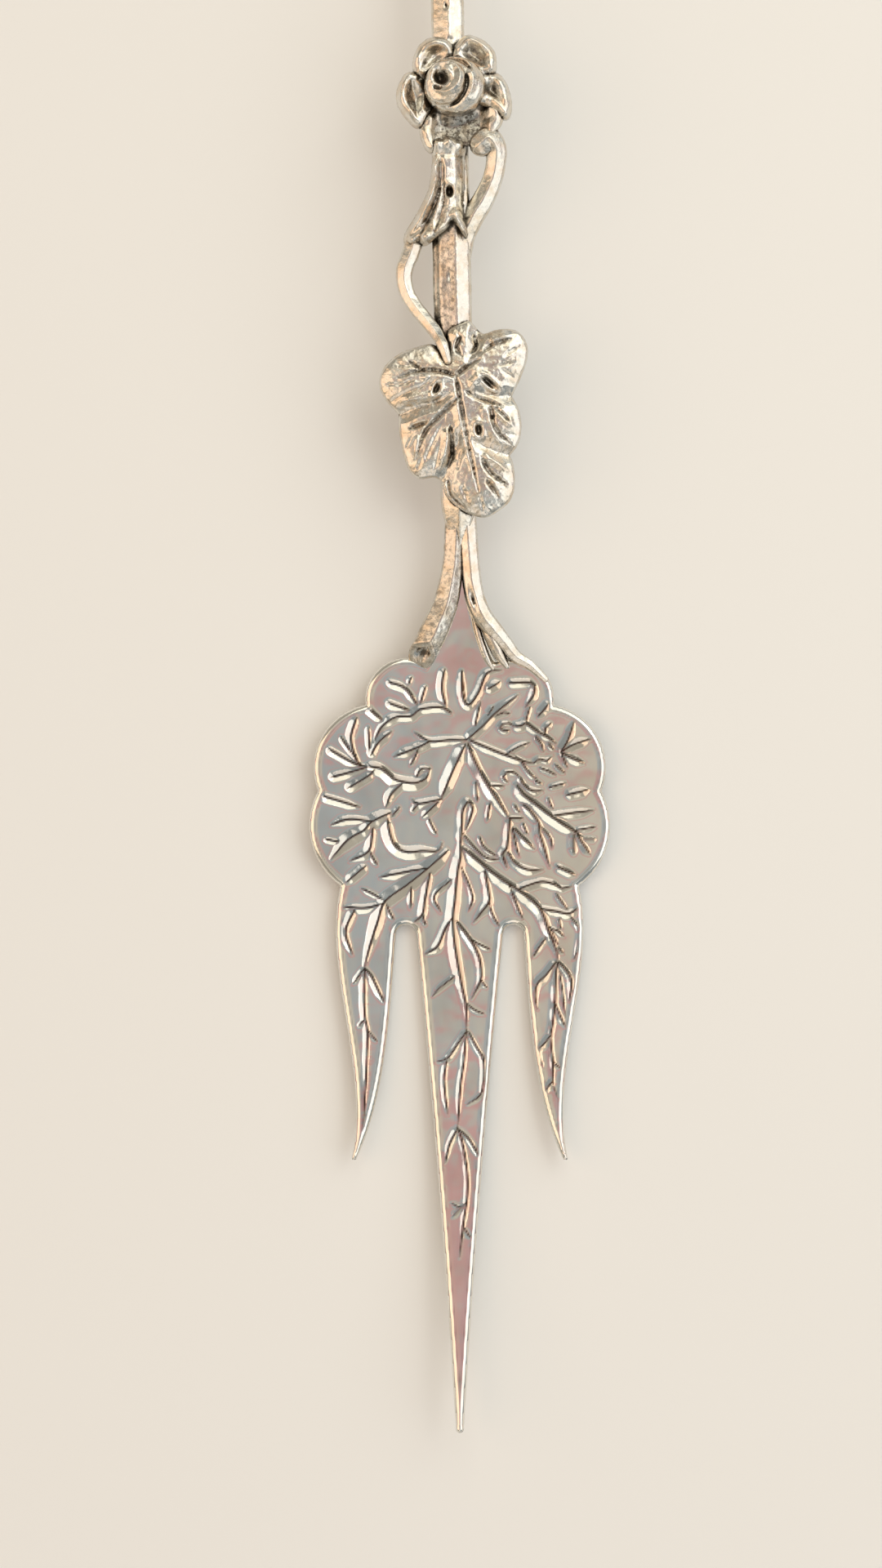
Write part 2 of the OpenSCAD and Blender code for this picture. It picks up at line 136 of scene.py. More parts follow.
def newGroup(name, outputs):  # a group that reads a place on the piece
    group = bpy.data.node_groups.new(name, "ShaderNodeTree")
    group.interface.new_socket("Vector", in_out="INPUT", socket_type="NodeSocketVector")
    for label in outputs:
        group.interface.new_socket(label, in_out="OUTPUT", socket_type="NodeSocketFloat")
    return group, group.nodes.new("NodeGroupInput").outputs[0], group.nodes.new("NodeGroupOutput").inputs


grain = {
    "pits": {"Scale": 2400.0, "Detail": 4.0, "Roughness": 0.62}, "pitStops": [(0.36, 0), (0.62, 1)],
    "mottle": {"Scale": 768.0, "Detail": 3.0, "Roughness": 0.55}, "mottleStops": [(0.35, 0), (0.65, 1)],
    "lines": {"Scale": 5200.0, "Detail": 3.0}, "stretch": (1, 0.04, 1),
    "cloud": {"Scale": 260.0, "Detail": 2.0},
}


def castGrainGroup():  # pitting and mottling of cast metal
    group, place, out = newGroup("castGrain", ["Pits", "Mottle"])
    for i, kind in enumerate(("pits", "mottle")):
        texture = addNode(group, "ShaderNodeTexNoise", {"Vector": place}, **grain[kind])
        stops = grain["pitStops"] if kind == "pits" else grain["mottleStops"]
        group.links.new(rampNode(group, texture.outputs[0], stops), out[i])
    return group


def brushingGroup():  # fine polishing lines along the fork
    group, place, out = newGroup("brushing", ["Lines", "Cloud"])
    stretched = addNode(group, "ShaderNodeMapping", {"Vector": place, "Scale": grain["stretch"]}).outputs[0]
    for i, (kind, where) in enumerate((("lines", stretched), ("cloud", place))):
        texture = addNode(group, "ShaderNodeTexNoise", {"Vector": where}, **grain[kind])
        group.links.new(texture.outputs[0], out[i])
    return group


def newMaterial(name):
    material = bpy.data.materials.new(name)
    material.use_nodes = True
    return material, material.node_tree, material.node_tree.nodes["Principled BSDF"]


def startSilver(name, group):  # metal with an effect group, and the attribute that says where patina and painted shade darken it
    material, tree, shader = newMaterial(name)
    shader.inputs["Metallic"].default_value = 1.0
    place = addNode(tree, "ShaderNodeTexCoord")
    effect = addNode(tree, "ShaderNodeGroup", node_tree=group)
    tree.links.new(place.outputs["Object"], effect.inputs[0])
    patinaShadeMask = addNode(tree, "ShaderNodeAttribute", attribute_name="patinaShadeMask")
    return material, tree, shader, effect.outputs, patinaShadeMask.outputs["Fac"]


def finishSilver(tree, shader, look, height, colour):
    low, high = look["rough"]
    rough = addNode(tree, "ShaderNodeMapRange", {"Value": height, "To Min": low, "To Max": high})
    strength, depth = look["bump"]
    bump = addNode(tree, "ShaderNodeBump", {"Height": height}, Strength=strength, Distance=depth)
    sources = {"Base Color": colour, "Roughness": rough.outputs[0], "Normal": bump.outputs[0]}
    for name, source in sources.items():
        tree.links.new(source, shader.inputs[name])


# The patina colours darken hollows and cut lines, and also paint shade where the mask asks for it
sheetLook = {
    "silver": (0.85, 0.83, 0.78, 1), "toned": (0.68, 0.62, 0.54, 1), "patinaAndShade": (0.09, 0.065, 0.05, 1),
    "toneStops": [(0.42, 0), (0.75, 0.55)], "darkStops": [(0.25, 0), (0.85, 1)],
    "rough": (0.07, 0.15), "bump": (0.05, 0.00002),
}
castLook = {
    "worn": (0.76, 0.73, 0.67, 1), "gold": (0.64, 0.51, 0.36, 1), "patinaAndShade": (0.12, 0.105, 0.085, 1),
    "goldStops": [(0.3, 0), (1.0, 0.6)], "pitStops": [(0.0, 0.5), (0.6, 0)],
    "darkStops": [(0.2, 0), (0.85, 1)], "pitsInHollows": 1.5, "pitsAnywhere": 0.22,
    "rough": (0.32, 0.14), "bump": (0.22, 0.00005),  # bump strength and depth
}


def polishedSilver():
    material, tree, shader, lines, patinaShadeMask = startSilver("polishedSilver", brushing)
    tone = rampNode(tree, lines[1], sheetLook["toneStops"])
    clean = mixNode(tree, tone, sheetLook["silver"], sheetLook["toned"])
    dark = rampNode(tree, patinaShadeMask, sheetLook["darkStops"])
    finishSilver(tree, shader, sheetLook, lines[0], mixNode(tree, dark, clean, sheetLook["patinaAndShade"]))
    return material


def antiquedSilver():
    material, tree, shader, cast, patinaShadeMask = startSilver("antiquedSilver", castGrain)
    warm = mixNode(tree, rampNode(tree, cast[1], castLook["goldStops"]), castLook["worn"], castLook["gold"])
    pits = rampNode(tree, cast[0], castLook["pitStops"])
    share = timesPlus(tree, patinaShadeMask, castLook["pitsInHollows"], castLook["pitsAnywhere"])
    dark = rampNode(tree, timesPlus(tree, pits, share, patinaShadeMask), castLook["darkStops"])
    finishSilver(tree, shader, castLook, cast[0], mixNode(tree, dark, warm, castLook["patinaAndShade"]))
    return material


castGrain = castGrainGroup()
brushing = brushingGroup()
silverSheet = polishedSilver()
silverCast = antiquedSilver()
print("materials ready")


# Meshes and objects
def toMesh(bm, name):
    mesh = bpy.data.meshes.new(name)
    bm.to_mesh(mesh)
    bm.free()
    return mesh


def getPoints(mesh):
    points = np.empty(len(mesh.vertices) * 3, np.float32)
    mesh.vertices.foreach_get("co", points)
    return points.reshape(-1, 3).astype(float)


def getNormals(mesh):
    normals = np.empty(len(mesh.vertices) * 3, np.float32)
    mesh.vertex_normals.foreach_get("vector", normals)
    return normals.reshape(-1, 3).astype(float)


def setPoints(mesh, points):
    mesh.vertices.foreach_set("co", points.astype(np.float32).ravel())
    mesh.update()


def setPatinaShadeMask(mesh, values):  # how dark each point is: patina in hollows, and painted shade
    if "patinaShadeMask" not in mesh.attributes:
        mesh.attributes.new("patinaShadeMask", "FLOAT", "POINT")
    mesh.attributes["patinaShadeMask"].data.foreach_set("value", values.astype(np.float32))


def setShape(mesh, points, patinaShadeMask):  # points in millimetres
    setPoints(mesh, points * mm)
    setPatinaShadeMask(mesh, patinaShadeMask)
    bm = bmesh.new()
    bm.from_mesh(mesh)
    bmesh.ops.recalc_face_normals(bm, faces=bm.faces)
    bm.to_mesh(mesh)
    bm.free()


def addObject(name, data):
    thing = bpy.data.objects.new(name, data)
    scene.collection.objects.link(thing)
    return thing


def finishPiece(mesh, name, node, material, sharp):
    mesh.polygons.foreach_set("use_smooth", np.ones(len(mesh.polygons), bool))
    mesh.set_sharp_from_angle(angle=math.radians(sharp))
    mesh.materials.append(material)
    piece = addObject(name, mesh)
    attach(piece, "root")
    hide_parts(node)
    print(name, len(mesh.polygons), "faces")


def ripple(x, y, scale, seed):  # smooth noise at each point
    return np.array([noise.noise((a * scale, b * scale, seed)) for a, b in zip(x, y)])


def clamp(value):
    return np.clip(value, 0, 1)


def turned(x, y, degrees):  # the same offsets in axes turned by an angle
    c, s = math.cos(math.radians(degrees)), math.sin(math.radians(degrees))
    return x * c + y * s, y * c - x * s


def rounded(inward, drop, width, power=2):  # fall towards an edge
    return drop * clamp(1 - inward / width) ** power


def mound(x, y, spotX, spotY, size, height):
    return height * np.exp(-((x - spotX) ** 2 + (y - spotY) ** 2) / size ** 2)


def fromOval(x, y, spotX, spotY, wide, tall, turn=0):  # distance from its middle, one at its line
    across, along = turned(x - spotX, y - spotY, turn)
    return np.hypot(across / wide, along / tall)


# Blade: pressed sheet with a rounded rim and chased leaf veins
blade = {
    "pitch": 0.14, "margin": 0.3, "rimWidth": 0.55, "rimDrop": 0.36, "rimPower": 1.7, "sharp": 62,
    "lineDepth": 0.05, "lineWidth": 0.16, "lineDull": 0.45,  # the line cut along the rim
    "lobes": [(4.8, -16.2, 3.8), (7.5, -22.4, 5.8), (7.0, -27.7, 6.7)],
    "slotX": 4.9, "slotR": 0.95, "tipR": 0.35, "pastMiddle": -1,
    "steps": {"centreSide": 24, "sideInner": 20, "sideOuter": 20, "tangSide": 10},  # of the curves below
    "centreSide": [(0.35, -44.45), (1.18, -30.9), (2.37, -16.1), (3.95, 0)],
    "sideInner": [(5.85, 0), (6.35, -6.7), (6.65, -14.7), (9.45, -20.4)],
    "sideOuter": [(9.85, -20.4), (8.05, -12.2), (12.85, -2.4), (10.75, 4.9)],
    "tangSide": [(4, 23.7), (2, 26.7), (1.2, 30.2), (0.9, 34.1)],
    "wide": (0.85, 0.24), "middle": (0.62, 0.18), "thin": (0.42, 0.125),  # half width and depth of a groove
    "skew": 0.76, "finerFrom": -39, "finerTo": -48, "finer": 0.76,  # the tines have finer lines
    "clearFrom": 0.5, "clearOver": 0.6,  # grooves fade out at the rim, in rim widths
    "waves": [(0.03, 1 / 2.6, 1), (0.01, 1, 8)], "waveRim": 1.5,  # height, scale and seed
    "flankShade": 0.4, "flankDepth": 0.03,  # the cut lines get a tint of painted shade that dims their highlights
}
veins = {  # lines of the engraved leaf, each from its root outwards
    "wide": [
        [(-1.1, -30.0), (-2.9, -31.6), (-4.8, -33.1), (-6.8, -34.6), (-7.4, -36.2), (-8.2, -38.7),
         (-8.7, -40.7)],
        [(0.1, -29.4), (0.1, -30.5), (-0.2, -32.1), (-0.4, -34.3), (-0.6, -36.1), (-0.5, -38.0),
         (-0.2, -40.0), (0.2, -42.2), (0.6, -44.2), (0.6, -46.3)],
        [(0.3, -29.7), (1.7, -30.9), (2.9, -31.9), (4.3, -32.9), (5.4, -33.6), (7.3, -35.2), (8.2, -37.5),
         (8.8, -39.0), (9.0, -40.1)],
        [(0.5, -20.3), (-0.7, -22.9), (-1.7, -25.3)],
        [(0.7, -20.2), (1.7, -22.4), (2.6, -24.0), (3.9, -26.0), (4.6, -27.1)],
        [(5.2, -24.0), (5.9, -24.9), (6.8, -25.6), (8.2, -26.7), (9.2, -27.4), (10.6, -28.3), (11.4, -28.9)],
        [(-6.3, -26.5), (-8.1, -27.4), (-8.7, -28.1), (-10.2, -29.0), (-11.7, -30.7)],
        [(-6.6, -27.1), (-6.3, -28.6), (-5.8, -29.6), (-4.8, -30.1), (-3.4, -30.0), (-2.0, -30.0),
         (-1.6, -29.3)],
        [(-8.3, -22.3), (-7.1, -22.5), (-6.0, -23.4), (-5.1, -23.7), (-4.1, -23.8), (-3.1, -23.4),
         (-2.7, -22.5)],
    ],
    "middle": [
        [(-0.2, -55.2), (0.3, -56.7), (0.7, -59.3), (0.7, -61.4), (0.4, -63.5), (0.1, -65.8), (0.0, -66.9)],
        [(0.6, -46.3), (0.4, -49.2), (0.1, -51.3), (-0.1, -54.1), (-0.2, -55.2)],
        [(9.0, -40.1), (8.8, -41.0), (8.7, -43.7), (8.5, -45.7), (8.3, -47.0), (8.5, -49.2), (8.5, -51.1),
         (8.9, -52.5)],
        [(-8.7, -40.7), (-8.7, -43.7), (-8.6, -45.3), (-8.4, -46.5), (-8.5, -50.1), (-8.7, -53.5),
         (-8.8, -55.6)],
        [(0.6, -19.9), (-1.1, -19.9), (-2.7, -20.0), (-4.1, -19.2)],
        [(-2.7, -20.0), (-3.9, -20.6), (-6.0, -21.4)], [(-1.7, -25.3), (-3.8, -25.7), (-4.3, -25.3)],
        [(-2.0, -25.6), (-3.4, -26.9)], [(0.6, -19.9), (2.0, -18.7), (3.4, -17.3), (5.3, -15.8)],
        [(0.9, -19.9), (3.8, -21.1), (5.8, -21.8), (6.8, -22.0)],
        [(4.6, -27.1), (4.5, -28.2), (4.3, -29.8), (3.9, -30.3), (4.3, -31.5)],
        [(4.9, -27.9), (6.8, -29.8)],
        [(-0.8, -17.4), (-1.7, -16.9), (-3.6, -17.1), (-4.4, -17.7), (-5.8, -17.8), (-7.1, -18.7),
         (-7.9, -20.3)],
        [(-6.5, -14.6), (-4.9, -15.2), (-3.8, -16.8)], [(-6.5, -16.5), (-4.5, -17.2)],
        [(-1.4, -13.5), (-1.6, -15.2), (-1.2, -17.0)],
        [(0.2, -13.9), (0.3, -15.8), (0.8, -16.7), (1.7, -15.6), (2.5, -13.8), (3.8, -13.5)],
        [(2.5, -15.3), (3.7, -14.6)], [(4.5, -14.7), (6.5, -14.7), (6.8, -15.6), (6.0, -16.9)],
        [(8.2, -16.5), (7.1, -17.8)],
        [(5.0, -18.65), (5.6, -18.6), (6.0, -18.35), (7.0, -19.05), (8.0, -19.6), (8.8, -20.2)],
        [(-8.3, -17.0), (-7.0, -18.1)], [(-9.4, -17.9), (-9.9, -19.8), (-9.2, -22.0), (-8.3, -22.3)],
        [(-11.9, -20.7), (-9.4, -22.1), (-8.3, -22.3)], [(-11.7, -23.3), (-9.2, -22.6), (-8.3, -22.3)],
        [(-10.2, -24.3), (-8.1, -23.0), (-7.7, -22.4)], [(-8.1, -21.3), (-7.4, -20.1), (-6.2, -19.1)],
        [(-5.2, -23.8), (-6.3, -24.9), (-6.7, -26.0)], [(-12.4, -25.0), (-10.7, -25.5), (-9.1, -26.0)],
        [(-8.1, -27.3), (-10.1, -27.1), (-11.7, -27.6)], [(-7.9, -27.9), (-8.3, -30.0), (-10.0, -30.9)],
        [(-8.6, -31.4), (-10.4, -32.9)], [(9.2, -21.0), (9.9, -19.8), (10.4, -18.2)],
        [(9.2, -21.0), (10.4, -20.3), (11.9, -19.8)], [(9.2, -21.0), (10.4, -21.6), (11.4, -22.0)],
        [(5.5, -23.3), (5.9, -24.0), (6.6, -24.5), (7.6, -24.5)], [(9.8, -24.9), (11.8, -24.4)],
        [(8.5, -26.8), (9.8, -26.6), (12.2, -26.3)], [(10.4, -28.5), (10.4, -30.3)],
        [(10.7, -28.5), (11.9, -30.3)],
        [(5.8, -25.8), (6.4, -26.3), (7.2, -27.4), (7.3, -28.4), (7.6, -29.3), (8.2, -31.4)],
        [(4.4, -30.1), (5.1, -31.1), (6.2, -31.7), (7.6, -31.7)], [(8.9, -31.4), (10.6, -32.2)],
        [(0.1, -29.3), (0.2, -27.7), (0.3, -26.3), (0.8, -25.5), (1.2, -26.1), (0.8, -27.5), (0.4, -28.3)],
        [(-3.0, -31.6), (-4.8, -31.9), (-7.3, -32.4)], [(-6.9, -34.8), (-8.6, -35.2), (-10.6, -35.1)],
        [(-9.6, -35.4), (-10.4, -37.3), (-9.8, -39.4)],
        [(-2.7, -32.0), (-3.1, -34.1), (-3.4, -35.8), (-4.3, -36.6)],
        [(-8.7, -40.7), (-8.1, -41.3), (-7.4, -42.7), (-6.9, -43.8)],
        [(-0.6, -36.0), (-1.3, -37.1), (-2.0, -38.7), (-3.1, -39.4)],
        [(-0.3, -36.4), (1.0, -38.1), (1.8, -39.7), (2.0, -41.4), (1.9, -41.9), (1.1, -43.5)],
        [(0.6, -46.5), (-0.1, -47.5), (-1.1, -48.9), (-2.1, -49.2)],
        [(-1.2, -49.2), (-1.4, -51.0), (-1.1, -54.0)],
        [(0.8, -46.5), (1.6, -47.9), (2.2, -49.2), (2.0, -52.0), (0.7, -53.1)],
        [(-0.2, -55.3), (-0.9, -56.7), (-1.3, -58.4)], [(0.0, -55.4), (1.0, -56.4), (1.8, -57.9)],
        [(5.4, -33.5), (6.4, -33.1), (7.6, -32.8), (8.8, -33.1), (9.3, -33.4), (10.3, -33.2)],
        [(7.5, -35.3), (8.8, -35.5), (10.0, -35.7), (11.0, -35.0)],
        [(2.3, -31.8), (2.6, -33.4), (2.7, -34.6), (2.0, -35.6), (1.3, -36.5)],
        [(8.8, -40.1), (7.9, -41.3), (7.1, -42.1), (6.9, -43.3), (7.1, -44.4)],
        [(9.0, -40.1), (9.9, -41.1), (10.2, -42.0), (10.0, -43.7)],
        [(8.6, -43.7), (9.1, -44.8), (9.6, -46.0)],
        [(8.3, -46.8), (7.6, -47.7), (7.1, -48.2), (7.6, -49.6)], [(8.5, -50.9), (7.6, -52.1)],
    ],
    "thin": [
        [(-3.8, -20.7), (-4.1, -21.5), (-4.5, -22.2)], [(-3.8, -25.7), (-4.4, -26.5)],
        [(1.4, -18.6), (1.9, -16.4)], [(2.6, -17.6), (3.1, -16.8)],
        [(4.2, -21.2), (5.4, -20.5), (6.4, -20.1)], [(5.6, -21.8), (6.4, -22.9), (7.1, -23.5)],
        [(2.6, -24.0), (4.1, -24.1)], [(1.5, -23.7), (1.6, -25.5)], [(2.8, -25.6), (2.5, -27.3)],
        [(4.5, -27.0), (5.8, -27.0)], [(4.8, -27.9), (5.4, -30.5)], [(-3.1, -15.0), (-3.6, -16.6)],
        [(-4.4, -14.2), (-4.7, -14.9)], [(0.2, -13.6), (0.3, -14.9), (0.5, -16.1)],
        [(-10.8, -19.6), (-9.3, -21.9)], [(-8.3, -18.7), (-8.2, -21.0)],
        [(-2.7, -22.5), (-3.5, -22.5), (-4.0, -23.4)], [(-12.3, -28.9), (-10.8, -29.2)],
        [(-8.2, -30.1), (-7.5, -31.3)], [(-5.5, -26.0), (-6.2, -26.9)], [(-2.8, -27.1), (-2.1, -28.5)],
        [(9.2, -21.0), (9.8, -22.4)], [(8.2, -24.2), (9.7, -23.8)], [(10.6, -28.1), (12.4, -27.8)],
        [(11.4, -28.9), (12.5, -28.9)], [(7.3, -27.7), (8.3, -28.8), (8.4, -29.8)],
        [(-6.8, -34.6), (-7.9, -33.9), (-9.0, -33.4)], [(-6.7, -34.9), (-6.0, -36.3)],
        [(-3.4, -35.8), (-3.1, -36.8)], [(-4.4, -33.3), (-4.5, -35.3)],
        [(-8.7, -40.7), (-9.2, -41.4), (-9.7, -42.1)], [(-8.7, -45.4), (-9.3, -46.1)],
        [(-8.4, -46.3), (-7.5, -47.4)], [(-0.7, -32.6), (-2.3, -34.1), (-1.7, -35.6)],
        [(0.1, -31.4), (0.8, -32.9), (1.2, -34.3), (0.8, -35.5)],
        [(1.0, -38.1), (1.8, -38.5), (2.8, -39.0)], [(2.0, -41.8), (2.5, -42.5)],
        [(-0.5, -41.5), (-1.8, -42.5), (-2.5, -43.3)], [(0.6, -43.9), (1.4, -44.5), (2.3, -44.9)],
        [(0.7, -61.7), (0.2, -62.4), (-0.8, -62.0)], [(0.2, -62.4), (-0.7, -63.3)],
        [(0.4, -64.2), (1.0, -65.2)], [(8.8, -33.9), (9.9, -35.4)],
        [(10.2, -36.1), (11.0, -37.2), (10.9, -38.6), (10.4, -39.9)],
        [(2.7, -34.7), (3.0, -35.7), (3.6, -36.9)], [(4.5, -33.1), (5.8, -36.3)],
        [(0.3, -28.4), (1.2, -29.5), (2.4, -30.6), (3.6, -30.8)],
        [(7.8, -38.0), (7.1, -39.0), (6.7, -39.7)], [(8.2, -36.9), (9.0, -38.6)],
        [(9.1, -41.0), (9.4, -42.8), (9.6, -45.2)], [(8.6, -49.2), (9.1, -49.8)],
        [(4.5, -19.0), (4.0, -19.05), (3.65, -18.75), (3.95, -18.4), (4.5, -18.35), (5.0, -18.65)],
        [(4.4, -23.7), (4.0, -23.25), (4.25, -22.85), (4.9, -22.8), (5.5, -23.3)],
        [(6.9, -19.6), (7.5, -20.3), (7.6, -21.0)], [(8.1, -20.2), (8.6, -20.8)],
        [(8.7, -22.1), (9.6, -22.9)], [(6.9, -23.6), (7.6, -23.9)], [(5.0, -25.8), (5.5, -26.5)],
        [(6.4, -16.9), (6.1, -17.9), (6.0, -18.4)], [(3.3, -17.7), (4.0, -17.4), (4.6, -17.5)],
        [(8.3, -18.4), (7.8, -18.8), (7.8, -19.4)],
        [(6.8, -22.0), (7.3, -21.6), (7.9, -21.8), (8.4, -21.4)],
        [(7.3, -22.4), (8.1, -22.7), (8.8, -23.1)], [(8.1, -25.2), (8.5, -26.2)],
        [(5.8, -27.5), (6.2, -28.5)], [(1.8, -28.7), (2.3, -29.7), (3.4, -30.5)],
        [(8.4, -37.1), (9.0, -37.3), (9.5, -37.8)], [(9.1, -36.2), (9.2, -37.1)],
        [(9.0, -38.8), (9.5, -39.3)],
    ],
}


def polygonDistance(x, y, corners):  # below zero inside
    nearest = np.full(x.shape, 1e9)
    inside = np.zeros(x.shape, bool)
    for (ax, ay), (bx, by) in zip(corners, np.roll(corners, -1, axis=0)):
        dx, dy = bx - ax, by - ay
        t = clamp(((x - ax) * dx + (y - ay) * dy) / (dx * dx + dy * dy + 1e-12))
        nearest = np.minimum(nearest, np.hypot(x - ax - t * dx, y - ay - t * dy))
        if ay != by:
            inside ^= ((ay > y) != (by > y)) & (x < ax + (y - ay) * dx / dy)
    return np.where(inside, -nearest, nearest)


def bladeSide(name):
    return bezier(blade[name], blade["steps"][name]) + np.array([0, fork["rootY"]])


def bladeEdge(x, y):  # distance to the blade's outline, below zero inside; one half serves for both
    corners = np.vstack([
        [[blade["pastMiddle"], fork["tipY"] + blade["tipR"]]],
        bladeSide("centreSide"), bladeSide("sideInner"), bladeSide("sideOuter"),
        [lobe[:2] for lobe in (blade["lobes"][1], blade["lobes"][0])],
        bladeSide("tangSide"), [[blade["pastMiddle"], fork["neckY"]]],
    ])
    x = np.abs(x)
    edge = polygonDistance(x, y, corners)
    for lobeX, lobeY, lobeR in blade["lobes"]:
        edge = np.minimum(edge, np.hypot(x - lobeX, y - lobeY) - lobeR)
    edge = np.minimum(edge, np.hypot(x, y - fork["tipY"] - blade["tipR"]) - blade["tipR"])
    return np.maximum(edge, blade["slotR"] - np.hypot(x - blade["slotX"], y - fork["rootY"]))


cut = {  # how a line is cut: shares of its length, width and depth
    "step": 0.3, "steepX": 0.8, "steepY": 0.6,
    "startShare": 0.55, "startGrow": 6, "endShare": 0.35, "endGrow": 2.2,
    "wobble": 0.3, "wobbleScale": 0.9, "wobbleSeed": 5,
    # dark: patina along a groove's bottom; with a skew it spreads as painted shade over the steep flank that
    # faces away from the light
    "dark": 0.4, "darkLeast": 0.19, "darkMost": 0.26, "darkCore": 1.1, "shadeSkew": 0.6, "darkEnds": 1.6,
}


def cutGrooves(x, y, strokes, size, skew=0.0, scale=None):  # V grooves, steeper at the upper right, with a dark line that is patina at the bottom and painted shade over the steep flank
    halfWidth, depth = size
    field, shade = np.zeros(len(x)), np.zeros(len(x))
    reach = min(max(cut["dark"] * halfWidth, cut["darkLeast"]), cut["darkMost"])
    for stroke in strokes:
        line = smoothLine(stroke, cut["step"])
        along = np.linspace(0, 1, len(line))
        for a, b, s, t in zip(line[:-1], line[1:], along[:-1], along[1:]):
            d = b - a
            middle, half = (a + b) / 2, halfWidth + np.abs(d) / 2
            near = (np.abs(x - middle[0]) < half[0]) & (np.abs(y - middle[1]) < half[1])
            if not near.any():
                continue
            u = clamp(((x[near] - a[0]) * d[0] + (y[near] - a[1]) * d[1]) / (d @ d + 1e-12))
            offX, offY = x[near] - a[0] - u * d[0], y[near] - a[1] - u * d[1]
            away = np.hypot(offX, offY)
            lean = clamp((cut["steepX"] * offX + cut["steepY"] * offY) / np.maximum(away, 1e-6))
            place = s + (t - s) * u
            start = cut["startShare"] + cut["startGrow"] * place
            end = cut["endShare"] + cut["endGrow"] * (1 - place)
            taper = clamp(np.minimum(start, end))
            share = 1 if scale is None else scale[near]
            width = halfWidth * taper * share * (1 - skew * lean)
            wobble = noise.noise((a[0] * cut["wobbleScale"], a[1] * cut["wobbleScale"], cut["wobbleSeed"]))
            deep = depth * (1 + cut["wobble"] * wobble) * taper * share
            field[near] = np.maximum(field[near], deep * clamp(1 - away / width))
            # the dark reaches further over the steep flank, away from the light: painted shade
            narrow = share * (1 - cut["shadeSkew"] * skew * (1 - lean))
            dark = clamp(cut["darkCore"] - away / (reach * narrow))
            shade[near] = np.maximum(shade[near], dark * clamp(taper * cut["darkEnds"]))
    return field, shade


def plateMesh(name, corner, size, pitch, edgeOf):  # grid cut to an outline and doubled into a plate
    overhang, nudge, flattest = 0.45, 0.01, 0.3
    bm = bmesh.new()
    columns, rows = int(size[0] / pitch), int(size[1] / pitch)
    bmesh.ops.create_grid(bm, x_segments=columns, y_segments=rows, size=0.5)
    bmesh.ops.transform(bm, verts=bm.verts, matrix=Matrix.Diagonal((size[0], size[1], 1, 1)))
    bmesh.ops.translate(bm, verts=bm.verts, vec=(corner[0] + size[0] / 2, corner[1] + size[1] / 2, 0))
    edge = edgeOf(*np.array([v.co.xy for v in bm.verts]).T)
    outside = [v for v, e in zip(list(bm.verts), edge) if e > overhang * pitch]
    bmesh.ops.delete(bm, geom=outside, context="VERTS")
    bmesh.ops.delete(bm, geom=[v for v in bm.verts if not v.link_faces], context="VERTS")
    border = [v for v in bm.verts if v.is_boundary]
    x, y = np.array([v.co.xy for v in border]).T
    for turn in range(3):  # border points slide on to the outline
        edge = edgeOf(x, y)
        slopeX = (edgeOf(x + nudge, y) - edgeOf(x - nudge, y)) / (2 * nudge)
        slopeY = (edgeOf(x, y + nudge) - edgeOf(x, y - nudge)) / (2 * nudge)
        slide = edge / np.maximum(slopeX ** 2 + slopeY ** 2, flattest)
        x, y = x - slide * slopeX, y - slide * slopeY
    for v, place in zip(border, zip(x, y)):
        v.co.xy = place
    below = bm.verts.layers.float.new("below")
    for part in bmesh.ops.extrude_face_region(bm, geom=bm.faces[:])["geom"]:
        if isinstance(part, bmesh.types.BMVert):
            part[below] = 1
    mesh = toMesh(bm, name)
    under = np.empty(len(mesh.vertices), np.float32)
    mesh.attributes["below"].data.foreach_get("value", under)
    mesh.attributes.remove(mesh.attributes["below"])
    points = getPoints(mesh)
    inward = np.clip(-edgeOf(*points.T[:2]), 0, None)  # distance in from the outline
    return mesh, points, under > 0.5, inward


def makeBlade():
    low, high = (np.array(c)[:2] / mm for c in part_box("blade"))
    corner, size = low - blade["margin"], high - low + 2 * blade["margin"]
    mesh, points, under, inward = plateMesh("engravedBlade", corner, size, blade["pitch"], bladeEdge)
    x, y = points.T[:2]
    scale = np.interp(y, [blade["finerTo"], blade["finerFrom"]], [blade["finer"], 1])
    cuts = [cutGrooves(x, y, veins[kind], blade[kind], blade["skew"], scale) for kind in veins]
    clear = clamp((inward / blade["rimWidth"] - blade["clearFrom"]) / blade["clearOver"])
    groove, shade = np.max(cuts, axis=0) * clear
    rim = rounded(inward, blade["rimDrop"], blade["rimWidth"], blade["rimPower"])
    line = clamp(1 - np.abs(inward - blade["rimWidth"]) / blade["lineWidth"])
    uneven = sum(height * ripple(x, y, wave, seed) for height, wave, seed in blade["waves"])
    top = bladeTop(x, y) + uneven * clamp(inward / blade["waveRim"])
    points[:, 2] = top - rim - groove - blade["lineDepth"] * line
    points[under, 2] = np.maximum(0, bladeTop(x[under], y[under]) - fork["sheet"])
    # painted shade tints the groove flanks, dimming their highlights; the rim's cut line is darker
    flank = blade["flankShade"] * clamp(groove / blade["flankDepth"])
    patinaShadeMask = np.where(under, 0, np.maximum(np.maximum(shade, flank), blade["lineDull"] * line))
    setShape(mesh, points, patinaShadeMask)
    finishPiece(mesh, "engravedBlade", "blade", silverSheet, blade["sharp"])


makeBlade()


# Helpers for the cast handle
casting = {
    "weld": 0.002, "sharp": 70, "fractal": (0.8, 2.0, 3),
    "dentUp": 0.1,  # dents only where a face looks up
}


def carry(matrix, points):  # millimetre points through a placing matrix
    m = np.array(matrix)
    return np.asarray(points, float) @ m[:3, :3].T + m[:3, 3]


